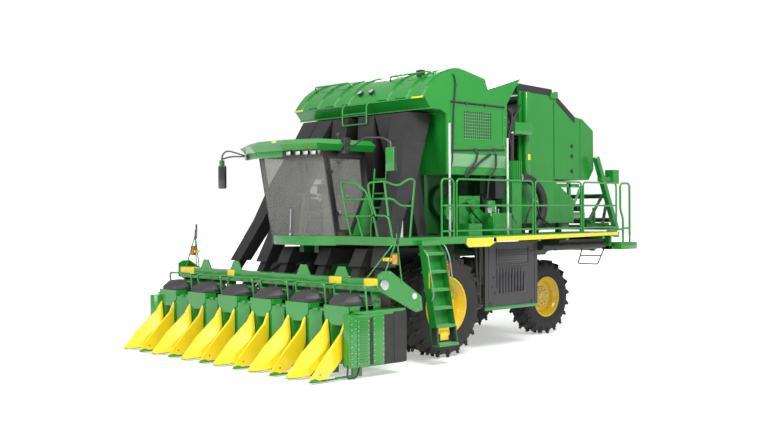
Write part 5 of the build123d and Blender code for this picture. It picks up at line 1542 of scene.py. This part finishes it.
bay_tubes = tubes(
    [
        [(1.86, 2.2, 4.62), (1.88, 2.2, 4.3), (1.88, 2.28, 4.05), (1.88, 2.38, 3.66)],
        [(1.84, 2.66, 4.8), (1.87, 2.5, 4.62), (1.87, 2.36, 4.45), (1.87, 2.26, 4.3)],
        [(1.9, 2.28, 4.72), (1.93, 2.3, 4.5), (1.93, 2.2, 4.2), (1.9, 2.14, 3.9)],
        [(1.92, 1.27, 3.78), (1.94, 1.2, 3.6), (1.94, 1.0, 3.45), (1.92, 0.9, 3.3)],
        [(1.92, 1.65, 3.76), (1.94, 1.4, 3.66), (1.94, 1.1, 3.44), (1.92, 0.96, 3.3)],
        [(1.92, 1.8, 3.78), (1.95, 1.78, 3.5), (1.95, 1.55, 3.3), (1.95, 1.5, 2.9)],
        [(2.0, 0.5, 2.25), (2.0, 0.55, 2.7), (1.98, 0.9, 2.85), (1.95, 1.1, 2.6), (1.95, 1.4, 2.4)],
        [(2.05, 1.7, 2.25), (2.05, 1.9, 2.6), (2.0, 2.1, 2.7), (1.98, 2.3, 2.4), (1.98, 2.5, 2.3)],
        [(1.95, 2.6, 2.3), (1.98, 2.75, 2.7), (1.98, 2.95, 2.85), (1.95, 3.15, 2.5), (1.95, 3.5, 2.35)],
    ], 0.02, 0.12,
)
hand_over(bay_tubes, "fan_drive_hoses", "chassis", hose_rubber, 50)
round_hose = pipe(
    [
        spot(1.87, 2.525, 3.33), spot(1.87, 3.0, 3.3), spot(1.87, 3.33, 2.98), spot(1.87, 3.35, 2.6),
        spot(1.87, 3.1, 2.32), spot(1.87, 2.98, 2.2)
    ],
    0.09, 0.3, 6
)
rise = pipe(
    [spot(1.87, 2.34, 3.66), spot(1.87, 2.35, 4.45), spot(1.87, 2.3, 4.64), spot(1.87, 2.2, 4.7)], 0.042,
    0.12, 4
)
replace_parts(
    hand_over(join([round_hose, rise]), "air_hoses", "chassis", hose_rubber, 50), "bay_hoses"
)
clamps = [
    drum(spot(1.87, 2.56, 3.33), spot(1.87, 2.59, 3.33), 0.094, 32, 0.003),
    drum(spot(1.87, 2.3465, 4.2), spot(1.87, 2.347, 4.23), 0.046, 24, 0.003)
]
hand_over(join(clamps), "hose_clamps", "chassis", bright_steel)

# %% [markdown]
# The chamber is sheet with a dark edge along its roof and round tubes at its corners. The sloping edges are
# outlines given as places in the side view, extruded by the thickness of the sheet.

# %% Round module chamber: dark roof edge, corner tube, slots and catches
edges = []
for side in (1, -1):
    near, far = sorted((side * 1.6, side * 1.612))
    edges += [
        sheet_metal(
            [
                (front_axle_y + 2.9, 5.13), (front_axle_y + 2.9, 5.268), (front_axle_y + 3.98, 5.228),
                (front_axle_y + 3.98, 5.09)
            ],
            near, far, 0.003
        ),
    ]
hand_over(join(edges), "chamber_roof_edges", "chassis", black_paint)
gate_edges, gate_slot_shades, gate_folds = [], [], []
for side in (1, -1):
    near, far = sorted((side * 1.6, side * 1.612))
    gate_edges.append(
        sheet_metal(
            [
                (front_axle_y + 4.15, 4.96), (front_axle_y + 4.15, 5.088), (front_axle_y + 4.78, 4.69),
                (front_axle_y + 4.78, 4.56)
            ],
            near, far, 0.003
        )
    )
    gate_folds.append(
        sheet_metal(
            [
                (front_axle_y + 4.06, 3.36), (front_axle_y + 4.06, 4.95), (front_axle_y + 4.6, 4.6),
                (front_axle_y + 4.1, 3.36)
            ],
            near, far, 0.003
        )
    )
    gate_folds.append(
        sheet_metal(
            [
                (front_axle_y + 4.98, 3.36), (front_axle_y + 4.98, 4.64), (front_axle_y + 5.06, 4.64),
                (front_axle_y + 5.06, 3.36)
            ],
            near, far, 0.003
        )
    )
    # Thin dark diamonds on the gate's sides are painted shade for its slots.
    for z in (4.05, 3.84, 3.51):
        gate_slot_shades.append(
            sheet_metal(
                [
                    (front_axle_y + 4.63, z), (front_axle_y + 4.68, z + 0.05), (front_axle_y + 4.73, z),
                    (front_axle_y + 4.68, z - 0.05)
                ],
                near, far, 0.001
            )
        )
hand_over(join(gate_edges), "gate_roof_edges", "gate", black_paint)
hand_over(join(gate_slot_shades), "gate_slot_painted_shade", "gate", hose_rubber)
hand_over(join(gate_folds), "gate_folds", "gate", green_paint)
corner_tubes = join([
    drum(spot(side * 1.655, 3.06, 3.2), spot(side * 1.655, 3.06, 5.1), 0.074, 32, 0.01) for side in (1, -1)
])
hand_over(corner_tubes, "chamber_corner_tubes", "chassis", green_paint, 40)
tube_marks = join(
    [
        block(
            spot(side * 1.727 - 0.004, 3.02, 3.7), spot(side * 1.727 + 0.006, 3.1, 3.82), 0.002
        ) for side in (1, -1)
    ]
)
hand_over(tube_marks, "chamber_reflectors", "chassis", yellow_paint)
cross_beam = join(
    [
        block(
            spot(side * 1.75 - 0.12, 2.45, 4.2), spot(side * 1.75 + 0.12, 3.0, 4.44), 0.01
        ) for side in (1, -1)
    ]
)
hand_over(cross_beam, "chamber_front_ties", "chassis", green_paint)

# %% [markdown]
# Below and behind the box sit fans and machinery that the picture shows only as shade. Round housings
# stand for the fans. Four plain eased blocks close the gaps behind them, as a guess at what fills the space.
# All of them take the darker green, which is painted shade.

# %% Fans below the box and the belt frame below the gate
fan_forms = [block(spot(-1.15, 0.62, 2.22), spot(1.15, 2.4, 3.4), 0.03)]
fan_forms.append(block(spot(-1.25, 2.45, 2.22), spot(1.25, 2.9, 4.85), 0.02))
fan_forms.append(block(spot(-1.25, 3.3, 2.3), spot(1.25, 5.05, 2.98), 0.02))
fan_forms.append(block(spot(-0.7, -0.42, 1.35), spot(0.7, -0.36, 2.04), 0.01))
for side in (1, -1):
    for y, z in ((0.98, 2.86), (1.62, 2.62)):
        fan_forms.append(drum(spot(side * 1.13, y, z), spot(side * 1.3, y, z), 0.3, 48, 0.02))
        fan_forms.append(drum(spot(side * 1.3, y, z), spot(side * 1.36, y, z), 0.1, 28, 0.01))
# The darker green on the fans and blocks is painted shade.
hand_over(join(fan_forms), "fan_housings", "chassis", shade_darkened_green, 40)
belt_frame = []
for side in (1, -1):
    near, far = sorted((side * 1.5, side * 1.56))
    for y in (4.16, 4.66):
        belt_frame.append(block(spot(near, y - 0.04, 2.44), spot(far, y + 0.04, 3.28), 0.008))
    belt_frame.append(block(spot(near, 4.06, 3.16), spot(far, 5.0, 3.24), 0.008))
    belt_frame.append(block(spot(near, 4.06, 2.5), spot(far, 5.2, 2.62), 0.008))
    belt_frame.append(pipe([spot(side * 1.53, 4.7, 2.6), spot(side * 1.53, 5.1, 3.18)], 0.03))
    belt_frame.append(block(spot(near, 5.08, 2.2), spot(far, 5.18, 3.2), 0.008))
hand_over(join(belt_frame), "belt_frame", "chassis", green_paint)
rollers = [
    drum(spot(-1.49, y, z), spot(1.49, y, z), 0.08, 28, 0.006) for y,
    z in ((3.4, 2.62), (4.1, 2.58), (4.75, 2.6), (5.1, 2.72))
]
rollers += [
    block(spot(-1.35 + 0.3 * i, 3.4, 2.66), spot(-1.15 + 0.3 * i, 5.1, 2.69), 0.004) for i in range(9)
]
hand_over(join(rollers), "belt_rollers", "chassis", dark_steel, 40)

# %% [markdown]
# A cradle of tubes lies between the handler's arms and moves with them. Its sizes are estimated. The tubes
# are bent pipes and drums, and the tray is a thin block.

# %% Cradle between the handler's arms
cradle_tubes = []
for side in (1, -1):
    for near, far in (((5.36, 2.36), (5.95, 3.0)), ((5.62, 2.36), (5.62, 2.72)), ((5.95, 2.36), (6.1, 2.82))):
        cradle_tubes.append(pipe([spot(side * 1.5, *near), spot(side * 1.5, *far)], 0.035))
    cradle_tubes.append(
        block(
            spot(min(side * 1.46, side * 1.54), 5.3, 2.3), spot(max(side * 1.46, side * 1.54), 6.15, 2.38),
            0.008
        )
    )
for y, z in ((5.4, 2.42), (5.95, 2.98), (6.1, 2.44)):
    cradle_tubes.append(drum(spot(-1.6, y, z), spot(1.6, y, z), 0.05, 24, 0.005))
cradle_tubes.append(block(spot(-1.45, 5.32, 2.3), spot(1.45, 6.1, 2.33), 0.004))
# The cradle takes the darker green, which is painted shade.
hand_over(join(cradle_tubes), "handler_cradle", "handler", shade_darkened_green, 40)

# %% [markdown]
# ## Ground, background and light
# The picture has a white ground and backdrop with a soft shadow under the machine. The floor is a
# large plane that shows white to the camera and to reflections, and a diffuse white under the lamps
# keeps the shadow. Two large soft lamps and a pale sky light the object at a plain level.

# %% Floor
bpy.ops.object.select_all(action="DESELECT")
bpy.ops.mesh.primitive_plane_add(size=160.0, location=(0, 0, -0.002))
floor = bpy.context.object
floor.name = "studio_floor"
floor_finish = Finish("studio_floor_white")
away = floor_finish.node("ShaderNodeVectorMath", {"operation": "LENGTH"}, {0: floor_finish.place()}, output=1)
floor_finish.surface(
    Base_Color=(0.82, 0.82, 0.82), Roughness=0.9,
    Emission_Color=floor_finish.ramp(away * 0.025, (0.2, 0.42), (0.75, 1.0)),
)
path = floor_finish.node("ShaderNodeLightPath").socket.node
camera_ray = Amount(floor_finish, path.outputs["Is Camera Ray"])
glossy_ray = Amount(floor_finish, path.outputs["Is Glossy Ray"])
through_ray = Amount(floor_finish, path.outputs["Is Transmission Ray"])
floor_finish.put(floor_finish.shader.inputs["Emission Strength"], camera_ray + glossy_ray + through_ray)
floor.data.materials.append(floor_finish.material)
floor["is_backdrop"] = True
print("floor laid")

# %% [markdown]
# The sky is a plain pale light. It shows white to the camera, and at a lower strength it lights the object.

# %% World and lamps
world = bpy.data.worlds.new("studio_world")
world.use_nodes = True
bpy.context.scene.world = world
world_tree = world.node_tree
sky = world_tree.nodes["Background"]
sky.inputs["Color"].default_value = (1.0, 1.0, 1.0, 1.0)
light_path = world_tree.nodes.new("ShaderNodeLightPath")
level = world_tree.nodes.new("ShaderNodeMath")
level.operation = "MULTIPLY_ADD"
level.inputs[1].default_value, level.inputs[2].default_value = 0.42, 0.58
shown = world_tree.nodes.new("ShaderNodeMath")
shown.operation = "MAXIMUM"
world_tree.links.new(light_path.outputs["Is Camera Ray"], shown.inputs[0])
world_tree.links.new(light_path.outputs["Is Transmission Ray"], shown.inputs[1])
world_tree.links.new(shown.outputs[0], level.inputs[0])
world_tree.links.new(level.outputs[0], sky.inputs["Strength"])


def lamp(name, place, target, size, power):
    data = bpy.data.lights.new(name, "AREA")
    data.shape, data.size, data.energy = "DISK", size, power
    lit = bpy.data.objects.new(name, data)
    bpy.context.scene.collection.objects.link(lit)
    lit.location = place
    lit.rotation_euler = (Vector(place) - Vector(target)).to_track_quat("Z", "Y").to_euler()


lamp("key_lamp", (12.0, -4.0, 14.0), (0.0, 0.0, 2.0), 7.0, 2600.0)
lamp("front_lamp", (2.0, -16.0, 7.0), (0.0, -1.0, 2.0), 8.0, 1100.0)
lamp("back_lamp", (-10.0, 12.0, 10.0), (0.0, 0.0, 2.0), 8.0, 900.0)
print("stage ready")

# %% Measure the dressed model's box
low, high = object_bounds()
({"cad": [list(map(float, cad_low)), list(map(float, cad_high))],
     "visual": [list(map(float, low)), list(map(float, high))]})
